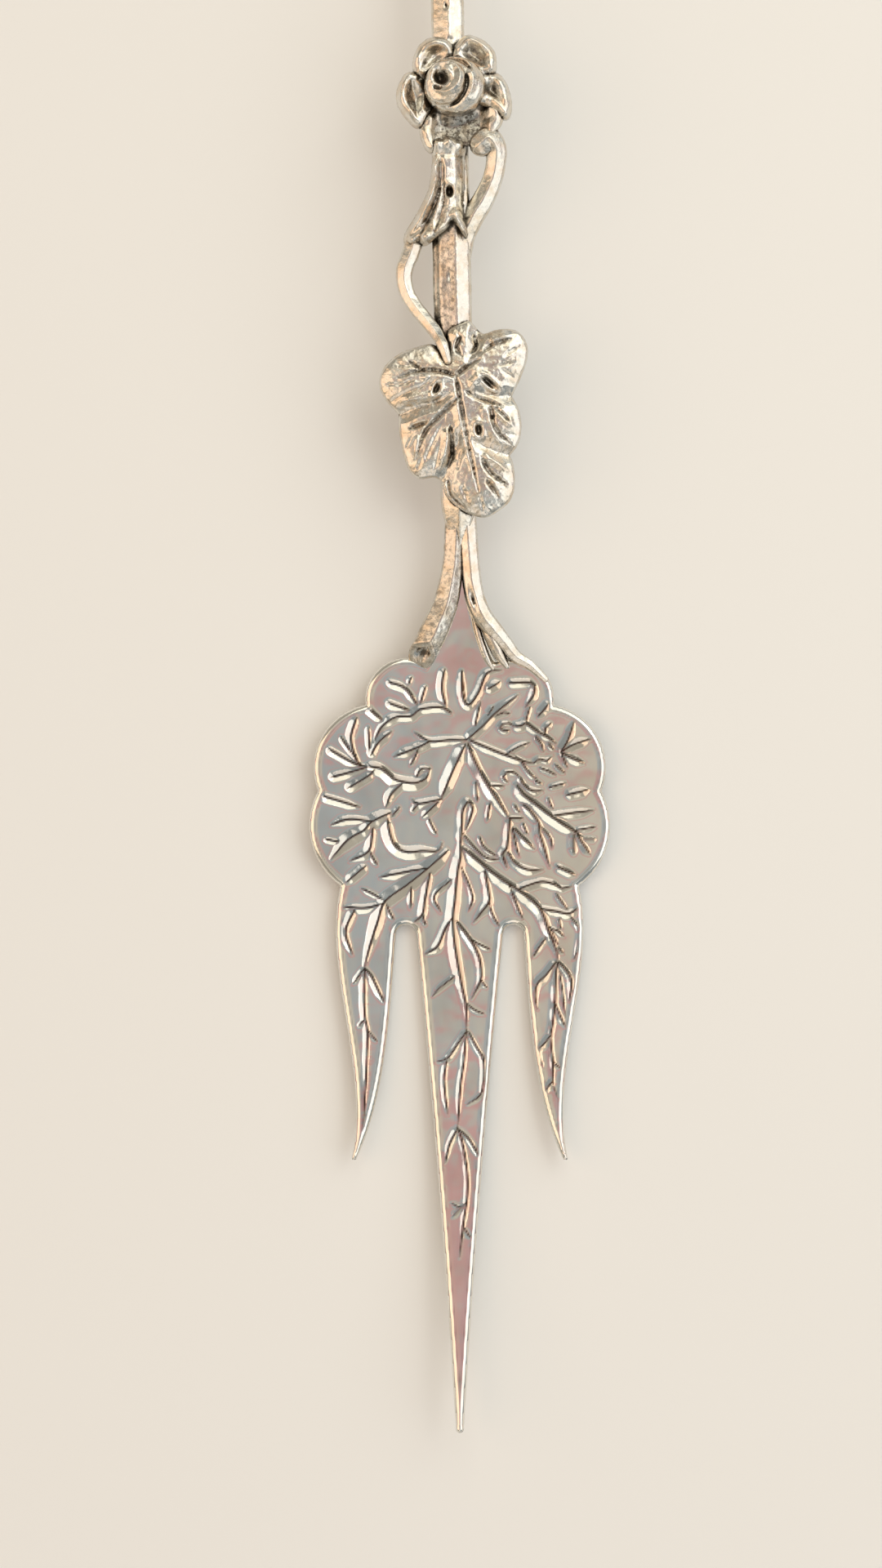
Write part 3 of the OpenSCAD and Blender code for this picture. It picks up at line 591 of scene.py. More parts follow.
def rolledGrid(name, columns, rows, shapeOf):  # grid whose sides meet and whose ends close to a point
    bm = bmesh.new()
    bmesh.ops.create_grid(bm, x_segments=columns, y_segments=rows, size=0.5)
    place = np.array([v.co.xy for v in bm.verts]) + 0.5
    for v, p in zip(bm.verts, shapeOf(place[:, 0], place[:, 1]) * mm):
        v.co = p
    bmesh.ops.remove_doubles(bm, verts=bm.verts, dist=casting["weld"] * mm)
    bmesh.ops.recalc_face_normals(bm, faces=bm.faces)
    return toMesh(bm, name)


def joinMeshes(name, parts):
    bm = bmesh.new()
    for part in parts:
        bm.from_mesh(part)
        bpy.data.meshes.remove(part)
    return toMesh(bm, name)


def roughen(mesh, size, depth):  # uneven skin of a casting
    points = getPoints(mesh)
    lift = np.array([noise.fractal(Vector(p) / (size * mm), *casting["fractal"]) for p in points])
    setPoints(mesh, points + getNormals(mesh) * (lift * depth * mm)[:, None])


def pressDent(mesh, spot, reach, depth, turn=0.0):  # pit seen from above, at a world X and Y
    points = getPoints(mesh)
    across, along = turned(*(points[:, :2] / mm - spot).T, turn)
    weight = np.exp(-(across / reach[0]) ** 2 - (along / reach[1]) ** 2)
    points[:, 2] -= depth * mm * weight * (getNormals(mesh)[:, 2] > casting["dentUp"])
    setPoints(mesh, points)


def flatSides(angle, flats):  # round section with flats: direction in degrees, share of the radius
    radius = np.ones(angle.shape)
    for turn, share in flats:
        radius = np.minimum(radius, share / np.maximum(np.cos(angle - math.radians(turn)), 0.01))
    return radius


roundEnd = [(math.cos(a), math.sin(a)) for a in np.linspace(0, math.pi / 2, 7)]  # share of the radius, push
cutEnd = [(1, 0), (0.96, 0.06), (0.86, 0.1), (0.7, 0.1), (0.56, 0.05), (0.46, -0.1), (0.42, -0.5),
          (0.36, -0.9), (0, -0.95)]
twig = {"step": 0.14, "sides": 40, "slantLength": 2.4}


def twigMesh(name, path, radii, flats=(), end=roundEnd, slant=0.0):
    line = smoothLine(path, twig["step"])
    ahead = np.gradient(line, axis=0)
    ahead /= np.linalg.norm(ahead, axis=1)[:, None]
    across = np.cross([0, 0, 1], ahead)
    across /= np.linalg.norm(across, axis=1)[:, None]
    up = np.cross(ahead, across)
    stations = [np.argmin(np.linalg.norm(line - np.array(p), axis=1)) for p in path]
    radius = np.interp(np.arange(len(line)), stations, radii)
    toEnd = np.arange(len(line))[::-1] * twig["step"] / radius[-1]
    # An end that is cut askew draws its last rings back at the top
    lean = -slant * clamp(1 - toEnd / twig["slantLength"])
    rows = [(0, share, -push) for share, push in reversed(roundEnd)]
    rows += [(i, 1, 0) for i in range(1, len(line))]
    rows += [(len(line) - 1, share, push) for share, push in end]
    ring, share, push = (np.array(column) for column in zip(*rows))

    def shapeOf(u, v):
        row = np.rint(v * (len(rows) - 1)).astype(int)
        i = ring[row].astype(int)
        angle = 2 * math.pi * u
        r = radius[i] * share[row] * flatSides(angle, flats)
        spoke = np.cos(angle)[:, None] * across[i] + np.sin(angle)[:, None] * up[i]
        further = push[row] * radius[i] + lean[i] * r * np.sin(angle)
        return line[i] + further[:, None] * ahead[i] + r[:, None] * spoke

    return rolledGrid(name, twig["sides"], len(rows) - 1, shapeOf)


def finishCast(mesh, name, node, skin):  # skin: size and depth of its unevenness
    roughen(mesh, *skin)
    finishPiece(mesh, name, node, silverCast, casting["sharp"])


# Vine leaf: low lobes with cut veins and pits, in its own plane with the middle of its veins at the origin
leaf = {
    "fromNeck": 16.4, "seat": 0.8, "thick": 0.7, "pitch": 0.1, "corner": (-7.5, -13.2), "span": (14.5, 18.6),
    "puff": 0.85, "puffOver": 1.4, "rimWidth": 0.2, "rimDrop": 0.14, "outlineStep": 0.35, "sharp": 75,
    "fibre": 0.05, "fibres": [(1, 2, 0), (0.7, 5, 3)],  # height, scale and seed
    "underRise": 0.25, "underOver": 0.8, "pitRing": 0.12, "pitRingAt": 2, "pitRingOver": 0.4,
    # darkening of the leaf: patina in the veins, folds, fine lines and pits, and a darker underside
    "shadeAndPatina": {"vein": 0.7, "fold": 0.15, "fine": 1.8, "pit": 0.8, "under": 0.3},
    "outline": [  # a row a lobe, from notch to notch
        [(-0.9, 2.4), (-1.6, 2.75), (-2.2, 2.95), (-3.4, 2.7), (-4.9, 2.2), (-6.3, 1.1), (-6.9, -0.4),
         (-6.4, -1.9), (-5.2, -3.3)],
        [(-5.2, -3.3), (-5.2, -4.7), (-4.95, -6.5), (-4.4, -8.3), (-3.5, -9.1), (-2.1, -9.0), (-1.5, -9.4)],
        [(-1.5, -9.4), (-1.0, -10.8), (0.3, -12.0), (1.6, -12.6), (2.5, -12.7), (3.5, -12.2), (4.6, -11.3),
         (5.1, -9.8), (5.0, -8.0), (4.7, -7.2)],
        [(4.7, -7.2), (5.5, -6.15), (5.8, -4.6), (5.6, -3.1), (5.0, -1.9)],
        [(5.0, -1.9), (5.9, -0.1), (6.5, 1.7), (6.3, 3.1), (5.4, 4.0), (3.9, 4.1), (2.6, 3.75), (2.0, 4.2)],
        [(2.0, 4.2), (1.35, 4.9), (0.6, 4.7), (-0.3, 4.4), (-0.8, 3.8), (-0.8, 3.2), (-0.9, 2.4)],
    ],
    "pits": [(-1.75, -1.1, 0.2, 0.42, -25, 0.4), (2.95, -0.65, 0.22, 0.72, 48, 0.5),
             (1.95, -4.85, 0.24, 0.42, 8, 0.45)],
    "vein": (0.3, 0.32), "fold": (0.9, 0.5), "fine": (0.26, 0.13), "ridge": (0.52, 0.27),
    "veins": [
        [(0, 0), (-1.4, 0.5), (-3.1, 0.6), (-5.2, 0)], [(-3.1, 0.6), (-4.2, 1.4)],
        [(0, 0), (0.8, 0.7), (2.2, 1.5)], [(2.6, 2.2), (3.4, 2.8), (5.0, 3.2)],
        [(0, 0), (0.3, -1.9), (0.7, -4.4), (1.3, -7.8), (1.8, -10.4)],
        [(0.3, -1.9), (-0.3, -2.4), (-1.7, -3.7), (-2.9, -5.0), (-3.6, -6.9)],
        [(-0.6, -4.5), (-0.5, -6.9), (-1.1, -8.4)], [(-2.7, -4.1), (-4.3, -4.6)],
        [(0.9, -1.4), (1.7, -1.9), (3.1, -2.4), (4.2, -2.8)], [(3.1, -2.7), (3.4, -4.7), (4.8, -6.2)],
        [(3.5, -2.9), (4.2, -3.6), (4.8, -4.3)], [(-0.9, -9.3), (-0.7, -10.6), (0.6, -11.9)],
        [(2.2, -7.5), (2.9, -8.7), (4.4, -9.8)], [(2.6, -9.4), (3.6, -10.9)],
        [(0.5, 3.5), (0.1, 2.5), (0.6, 1.7)], [(1.7, 3.6), (1.9, 2.5), (1.3, 2.0)],
    ],
    "folds": [
        [(-5.2, -3.4), (-3.5, -2.7), (-1.7, -2.2), (-0.7, -1.7)], [(5.0, -1.9), (3.4, -1.8), (1.6, -1.5)],
        [(4.7, -7.2), (3.0, -6.6), (1.4, -5.8)], [(-1.4, -9.3), (-0.3, -7.0), (0.4, -4.6)],
        [(2.0, 4.2), (1.9, 2.8), (1.1, 1.3)],
    ],
    "fines": [
        [(-5.9, -2.2), (-4.5, -1.4), (-3.0, -0.8), (-2.2, -0.1)],
        [(-6.2, -0.6), (-4.9, -0.6), (-3.6, -0.2)], [(-5.3, 1.2), (-3.9, 1.0), (-2.4, 1.0)],
        [(-2.9, -7.5), (-2.1, -5.7), (-1.3, -4.2)], [(-3.6, -8.2), (-3.2, -7.3)],
        [(-2.1, -8.2), (-1.6, -6.3)], [(-4.6, -6.4), (-3.9, -5.2)], [(0.0, -8.4), (0.3, -7.1), (0.8, -6.2)],
        [(3.6, -9.1), (4.3, -10.2)], [(0.3, -9.9), (0.8, -11.2)], [(1.9, -10.8), (2.2, -12.0)],
        [(2.5, -3.1), (2.8, -4.3), (3.7, -5.8)], [(4.0, -5.2), (5.2, -5.4)], [(2.7, 2.7), (3.6, 3.4)],
        [(3.8, 0.8), (5.3, 1.1)], [(4.4, 1.7), (5.8, 2.6)], [(4.1, 0.5), (5.3, -0.4)],
        [(0.3, 3.8), (0.8, 2.7)],
    ],
    "ridges": [
        [(-0.1, -1.6), (0.3, -4.2), (0.8, -6.4), (1.3, -8.6)], [(-3.6, -5.4), (-3.9, -7.2)],
        [(-0.9, -4.8), (-1.1, -6.8), (-1.6, -8.3)], [(2.4, -2.9), (3.0, -4.6), (3.8, -6.0)],
        [(3.7, -3.2), (5.1, -4.6)], [(3.2, 3.1), (5.2, 3.6)], [(1.4, -0.9), (2.0, -0.2), (2.9, 0.1)],
        [(-3.0, -0.1), (-1.5, 0.0), (-0.3, -0.3)], [(-4.6, -2.1), (-3.0, -1.9), (-1.4, -1.7)],
        [(2.4, -6.9), (3.4, -7.8), (4.5, -8.6)],
    ],
}
leafLine = np.vstack([smoothLine(row, leaf["outlineStep"])[:-1] for row in leaf["outline"]])


def leafEdge(x, y):
    return polygonDistance(x, y, leafLine)


def makeLeaf():
    mesh, points, under, inward = plateMesh("vineLeaf", leaf["corner"], leaf["span"], leaf["pitch"], leafEdge)
    x, y = points.T[:2]
    groove, shade = cutGrooves(x, y, leaf["veins"], leaf["vein"])
    fold, foldShade = cutGrooves(x, y, leaf["folds"], leaf["fold"])
    fine = cutGrooves(x, y, leaf["fines"], leaf["fine"])[0]
    ridge = cutGrooves(x, y, leaf["ridges"], leaf["ridge"])[0]
    pits = np.zeros(len(points))
    for *oval, depth in leaf["pits"]:
        away = fromOval(x, y, *oval)
        pits = np.maximum(pits, depth * np.exp(-away ** 3))
        ridge += leaf["pitRing"] * np.exp(-(away - leaf["pitRingAt"]) ** 2 / leaf["pitRingOver"])
    rim = rounded(inward, leaf["rimDrop"], leaf["rimWidth"])
    fibre = leaf["fibre"] * sum(height * ripple(x, y, scale, seed) for height, scale, seed in leaf["fibres"])
    lift = leaf["puff"] * (1 - np.exp(-inward / leaf["puffOver"]))
    points[:, 2] = leaf["thick"] + lift + ridge - rim - np.maximum(groove, fine) - fold - pits + fibre
    points[under, 2] = rounded(inward[under], leaf["underRise"], leaf["underOver"])
    shadeAndPatina = leaf["shadeAndPatina"]
    patinaShadeMask = shadeAndPatina["vein"] * shade + shadeAndPatina["fold"] * foldShade + shadeAndPatina["fine"] * fine + shadeAndPatina["pit"] * pits
    points = carry(onStem(leaf["fromNeck"], leaf["seat"]), points)
    setShape(mesh, points, np.where(under, shadeAndPatina["under"], clamp(patinaShadeMask)))
    finishPiece(mesh, "vineLeaf", "vine_leaf", silverCast, leaf["sharp"])


# Stem: arched branch with a flattened left side, cut flat under the leaf and the rose
branch = {
    "start": -0.2, "stop": 78.5, "rows": 560, "sides": 56, "closeOver": 0.25,
    "flats": [(103, 0.8), (62, 0.84)], "upperFlats": [(118, 0.78), (64, 0.84)],
    "lowFlatsTo": 9, "lowFlatsOver": 4,  # the upper flats serve below this too
    "neckShare": 0.38, "neckLength": 6.0, "sink": 0.3, "sinkLength": 5,  # the neck dives between the shoots
    "finTurn": 170, "fin": 0.3, "finWide": 0.16, "finFrom": 19.5, "finTo": 30.5,
    "upperFrom": 41.5, "roseFrom": 42.0, "roseX": 0.4, "roseFlat": 3.3, "flatFrom": 37.0,
    "leafLevel": 0.7, "roseLevel": 0.5, "leafInset": 0.1, "finEnds": 2, "skin": (0.6, 0.02),
    "bark": 0.025, "barkScale": (2.4, 0.22), "knots": 0.04, "knotScale": 0.35, "knotSeed": 7,
    "pits": [((-1.25, 46.0), (0.14, 0.3), 0.35), ((-0.9, 42.9), (0.2, 0.2), 0.2),
             ((-0.9, 21.6), (0.12, 0.35), 0.2)],
    "leftShade": 0.3, "leftShadeX": 0.35, "leftShadeFrom": 17, "leftShadeTo": 31,  # painted shade on the left flat
    "leftShadeSoft": 3, "leftShadeUp": 0.3,
}


def stemShape(u, v):
    s = branch["start"] + (branch["stop"] - branch["start"]) * v
    angle = 2 * math.pi * u
    cos, sin = np.cos(angle), np.sin(angle)
    tilt = np.arcsin((s - fork["archV"]) / fork["archRadius"])
    upper = clamp(s - branch["upperFrom"])
    radius = 0.5 * (fork["stemD"] * (1 - upper) + fork["upperStemD"] * upper)
    taper = clamp((s - branch["start"]) / branch["neckLength"])
    radius = radius * (branch["neckShare"] + (1 - branch["neckShare"]) * taper ** 2 * (3 - 2 * taper))
    ends = branch["finEnds"]
    inFin = clamp((s - branch["finFrom"]) * ends) * clamp((branch["finTo"] - s) * ends)
    fromFin = (angle - math.radians(branch["finTurn"])) / branch["finWide"]
    fin = branch["fin"] * inFin * np.exp(-fromFin ** 2)
    around, along = branch["barkScale"]
    bark = np.array([noise.noise((c * around, d * around, b * along)) for c, d, b in zip(cos, sin, s)])
    seed, along = branch["knotSeed"], branch["knotScale"]
    knots = np.array([noise.noise((c, d + seed, b * along)) for c, d, b in zip(cos, sin, s)])
    close = np.minimum(1, np.minimum(s - branch["start"], branch["stop"] - s) / branch["closeOver"]) ** 0.5
    other = np.maximum(upper, clamp((branch["lowFlatsTo"] - s) / branch["lowFlatsOver"]))
    flat = flatSides(angle, branch["flats"]) * (1 - other) + flatSides(angle, branch["upperFlats"]) * other
    r = (radius * flat + fin + branch["bark"] * bark + branch["knots"] * knots) * close
    x, lift = r * cos, r * sin
    underLeaf = leafEdge(x, s - leaf["fromNeck"]) < -branch["leafInset"]
    underRose = np.hypot(x - branch["roseX"], s - branch["roseFrom"]) < branch["roseFlat"]
    underRose |= (s > branch["flatFrom"]) & (s < branch["roseFrom"])
    lift = np.where(underLeaf, np.minimum(lift, branch["leafLevel"]), lift)
    lift = np.where(underRose, np.minimum(lift, branch["roseLevel"]), lift)
    sink = branch["sink"] * clamp(1 - (s - branch["start"]) / branch["sinkLength"])
    centre = fork["archZ"] + np.sqrt(fork["archRadius"] ** 2 - (s - fork["archV"]) ** 2) - sink
    return carry(onHandle(), np.stack([x, s + lift * np.sin(tilt), centre + lift * np.cos(tilt)], 1))


def makeStem():
    mesh = rolledGrid("vineStem", branch["sides"], branch["rows"], stemShape)
    for pit in branch["pits"]:
        pressDent(mesh, *pit)
    x, v = carry(onHandle().inverted(), getPoints(mesh) / mm).T[:2]
    # painted shade on the upward faces of the left flat, along the middle of the stem
    left = clamp((branch["leftShadeX"] - x) * branch["leftShadeSoft"]) * (getNormals(mesh)[:, 2] > branch["leftShadeUp"])
    setPatinaShadeMask(mesh, branch["leftShade"] * left * clamp(v - branch["leftShadeFrom"]) * clamp(branch["leftShadeTo"] - v))
    finishCast(mesh, "vineStem", "stem", branch["skin"])


# Shoots that hold the blade's tang, in world millimetres
leftShoot = {
    "path": [(-0.3, 4.0, 3.55), (-0.4, 0.4, 3.4), (-0.55, -3.6, 3.2), (-0.9, -5.8, 3.15), (-1.27, -7.45, 3.1),
             (-1.8, -8.8, 3.05), (-2.4, -10.2, 3.0), (-3.35, -12.05, 2.92)],
    "radii": [0.8, 0.92, 0.98, 1.04, 1.14, 1.24, 1.28, 1.26], "flats": [(118, 0.74), (52, 0.82), (-90, 0.9)],
    # the left shoot's floor of darkening is painted shade
    "slant": 1.2, "dimple": (-3.36, -12.1, 0.42), "shadeAndPatina": 0.26, "skin": (0.5, 0.018),
}
rightShoot = {
    "path": [(0.35, 4.0, 3.55), (0.6, 0.4, 3.4), (0.9, -3.6, 3.2), (1.15, -5.8, 3.12), (1.52, -7.45, 3.0),
             (2.1, -8.7, 2.88), (2.97, -9.8, 2.72), (4.1, -11.1, 2.5), (5.1, -12.3, 2.3), (6.4, -13.1, 2.12),
             (7.8, -14.4, 1.98)],
    "radii": [0.8, 0.88, 0.86, 0.88, 0.9, 0.9, 0.84, 0.7, 0.58, 0.46, 0.28],
    "flats": [(108, 0.86), (62, 0.82)],
    "twigs": [[(1.8, -8.4, 2.8), (2.75, -10.4, 2.62), (3.5, -12.0, 2.4), (4.3, -13.2, 2.1)],
              [(1.15, -8.0, 2.6), (1.7, -10.2, 2.4), (2.4, -12.3, 2.2), (3.0, -13.4, 2.0)],
              [(2.6, -9.4, 2.7), (3.7, -11.2, 2.5), (4.4, -12.4, 2.2)]],
    "twigRadii": [[0.4, 0.58, 0.55, 0.25], [0.25, 0.34, 0.34, 0.15], [0.3, 0.42, 0.2]],
    "slit": ((1.22, -7.2), (0.15, 0.75), 0.34, 17), "skin": (0.5, 0.018),
}


def makeShoots():
    body = [leftShoot[key] for key in ("path", "radii", "flats")]
    mesh = twigMesh("leftShoot", *body, cutEnd, leftShoot["slant"])
    dimpleX, dimpleY, dimpleR = leftShoot["dimple"]
    x, y = getPoints(mesh).T[:2] / mm
    dark = np.exp(-(np.hypot(x - dimpleX, y - dimpleY) / dimpleR) ** 4)
    # painted shade over the whole shoot, darker still in the dimple of its cut end
    setPatinaShadeMask(mesh, np.maximum(dark, leftShoot["shadeAndPatina"]))
    finishCast(mesh, "leftShoot", "left_shoot", leftShoot["skin"])
    parts = [twigMesh("rightShoot", rightShoot["path"], rightShoot["radii"], rightShoot["flats"])]
    pressDent(parts[0], *rightShoot["slit"])
    parts += [twigMesh("rightTwig", *row) for row in zip(rightShoot["twigs"], rightShoot["twigRadii"])]
    finishCast(joinMeshes("rightShoots", parts), "rightShoot", "right_shoot", rightShoot["skin"])


# Stalk of the leaf and the side branch, as X and Y in the handle's plane and height over the stem's middle
stalk = {
    "path": [(-3.4, 28.7, 0.3), (-3.85, 27.4, 0.3), (-4.3, 26.4, 0.3), (-4.45, 25.3, 0.3), (-4.2, 24.0, 0.4),
             (-3.5, 22.7, 0.6), (-2.55, 21.45, 0.9), (-1.7, 20.25, 1.35), (-1.1, 18.95, 2.0),
             (-0.7, 17.6, 2.15)],
    "radii": [0.8, 0.8, 0.77, 0.73, 0.7, 0.67, 0.63, 0.58, 0.5, 0.32], "flats": [(60, 0.86), (120, 0.86)],
    "skin": (0.5, 0.025),
}
knobBranch = {
    "path": [(0.6, 27.0, -0.1), (1.0, 29.0, 0.1), (1.8, 30.6, 0.3), (2.85, 32.2, 0.45), (3.7, 34.0, 0.6),
             (4.05, 35.6, 0.85), (4.0, 36.7, 1.1), (3.4, 37.4, 1.25), (2.8, 37.0, 1.25)],
    "radii": [1.0, 1.05, 1.05, 0.98, 0.9, 0.9, 1.0, 1.18, 1.12], "flats": [(60, 0.86), (122, 0.86)],
    "skin": (0.5, 0.025),
}


def makeTwigs():
    for row, name, node in ((stalk, "leafStalk", "leaf_stalk"), (knobBranch, "sideBranch", "side_branch")):
        path = carry(onHandle(), [(x, v, stemZ(v) + lift) for x, v, lift in row["path"]])
        finishCast(twigMesh(name, path, row["radii"], row["flats"]), name, node, row["skin"])


# Calyx: folded bract over the stem, with a knuckled collar at the top and its tips down
calyx = {
    "middle": 32.6, "collar": 4.2, "pitch": 0.09, "corner": (-4.8, -5.2), "span": (7.0, 10.8), "rise": 2.3,
    "thick": 1.1, "underMost": 1.2, "ridgeX": -0.5, "leftFall": 0.14, "rightFall": 0.22, "edgeFall": 0.9,
    "edgeFrom": 0.85, "edgeMost": 2, "tipFrom": -7.5, "tipOver": 2.5, "tipLeast": 0.3,
    "rimDrop": 0.5, "rimWidth": 0.45, "outlineStep": 0.3, "skin": (0.5, 0.025),
    # darkening: patina in the grooves and the hole, painted shade on the right flank, and a darker underside
    "shadeAndPatina": {"groove": 0.7, "hole": 0.8, "right": 0.22, "under": 0.3}, "rightShadeFromX": 0.5, "rightShadeToY": -1,
    "outline": [  # rows of points between corners, from the collar's left round the foot to its right
        [(-1.75, 0.2), (-1.7, -1.1), (-2.0, -3.4), (-2.5, -4.6), (-3.2, -5.8), (-3.9, -6.8), (-4.4, -7.6),
         (-4.4, -8.3)],
        [(-4.4, -8.3), (-3.85, -8.75), (-3.3, -8.5), (-3.1, -8.25)],
        [(-3.1, -8.25), (-2.7, -8.65), (-2.1, -8.5), (-1.2, -7.8), (-0.5, -7.3), (0.0, -6.6)],
        [(0.0, -6.6), (0.45, -7.1), (0.8, -7.7), (1.25, -8.2)],
        [(1.25, -8.2), (1.35, -7.6), (1.1, -6.6), (1.05, -5.4), (1.3, -3.4), (1.45, -1.0), (1.55, 0.3)],
        [(1.55, 0.3), (1.3, 0.65), (0.85, 0.72), (0.5, 0.6)],
        [(0.5, 0.6), (0.25, 0.85), (-0.15, 0.95), (-0.5, 0.85), (-0.7, 0.65)],
        [(-0.7, 0.65), (-1.0, 0.78), (-1.45, 0.65), (-1.75, 0.2)],
    ],
    "bumps": [(-1.2, 0.1, 0.42, 0.45), (-0.1, 0.3, 0.42, 0.5), (0.95, 0.05, 0.42, 0.45),
              (0.0, -0.9, 0.9, 0.15),
              (-3.75, -8.15, 0.5, 0.5), (-2.5, -8.0, 0.55, 0.5), (-1.3, -7.5, 0.5, 0.25)],
    "ridge": (0.62, 0.52), "ridges": [
        [(0.25, -5.8), (0.6, -7.2), (1.1, -7.9)],
        [(-1.35, -1.0), (-1.55, -3.4), (-2.6, -5.9), (-3.9, -7.7)],
    ],
    "groove": (0.48, 0.4), "grooves": [
        [(-0.95, -1.3), (-1.1, -3.8), (-1.9, -5.8), (-3.1, -8.2)],
        [(-0.7, -3.2), (-0.8, -5.2), (-1.7, -7.9)],
    ],
    "hole": (-0.2, -4.05, 0.26, 0.42, 0.75), "holeRing": (0.13, 1.7, 0.6), "collarGroove": (-0.75, 0.3, 0.14),
}
calyxLine = np.vstack([smoothLine(row, calyx["outlineStep"])[:-1] for row in calyx["outline"]])


def calyxEdge(x, y):
    return polygonDistance(x, y - calyx["collar"], calyxLine)


def makeCalyx():
    grid = [calyx[key] for key in ("corner", "span", "pitch")]
    mesh, points, under, inward = plateMesh("calyxBract", *grid, calyxEdge)
    x, y = points[:, 0], points[:, 1] - calyx["collar"]
    side = x - calyx["ridgeX"]
    fall = np.clip((y - calyx["tipFrom"]) / calyx["tipOver"], calyx["tipLeast"], 1)  # less of it at the tip
    past = np.clip(side - calyx["edgeFrom"], 0, calyx["edgeMost"])
    right = fall * (calyx["rightFall"] * side + calyx["edgeFall"] * past)  # the right flank falls away
    top = calyx["rise"] - np.where(side < 0, calyx["leftFall"] * side ** 2, right)
    groove, shade = cutGrooves(x, y, calyx["grooves"], calyx["groove"])
    top += cutGrooves(x, y, calyx["ridges"], calyx["ridge"])[0] - groove
    top -= rounded(inward, calyx["rimDrop"], calyx["rimWidth"])
    for knuckle in calyx["bumps"]:
        top += mound(x, y, *knuckle)
    ringY, ringWidth, ringDepth = calyx["collarGroove"]
    top -= ringDepth * np.exp(-((y - ringY) / ringWidth) ** 2)
    *oval, depth = calyx["hole"]
    away = fromOval(x, y, *oval)
    hole = np.exp(-away ** 3)
    ringUp, ringAt, ringOver = calyx["holeRing"]
    top += ringUp * np.exp(-((away - ringAt) / ringOver) ** 2) - depth * hole
    points[:, 2] = np.where(under, np.minimum(top - calyx["thick"], calyx["underMost"]), top)
    shadeAndPatina = calyx["shadeAndPatina"]
    # painted shade on the right flank
    rightFlankShade = (x > calyx["rightShadeFromX"]) * (y < calyx["rightShadeToY"])
    patinaShadeMask = clamp(shadeAndPatina["groove"] * shade + shadeAndPatina["hole"] * hole + shadeAndPatina["right"] * rightFlankShade)
    patinaShadeMask = np.where(under, shadeAndPatina["under"], patinaShadeMask)
    setShape(mesh, carry(onStem(calyx["middle"]), points), patinaShadeMask)
    finishCast(mesh, "calyxBract", "calyx", calyx["skin"])


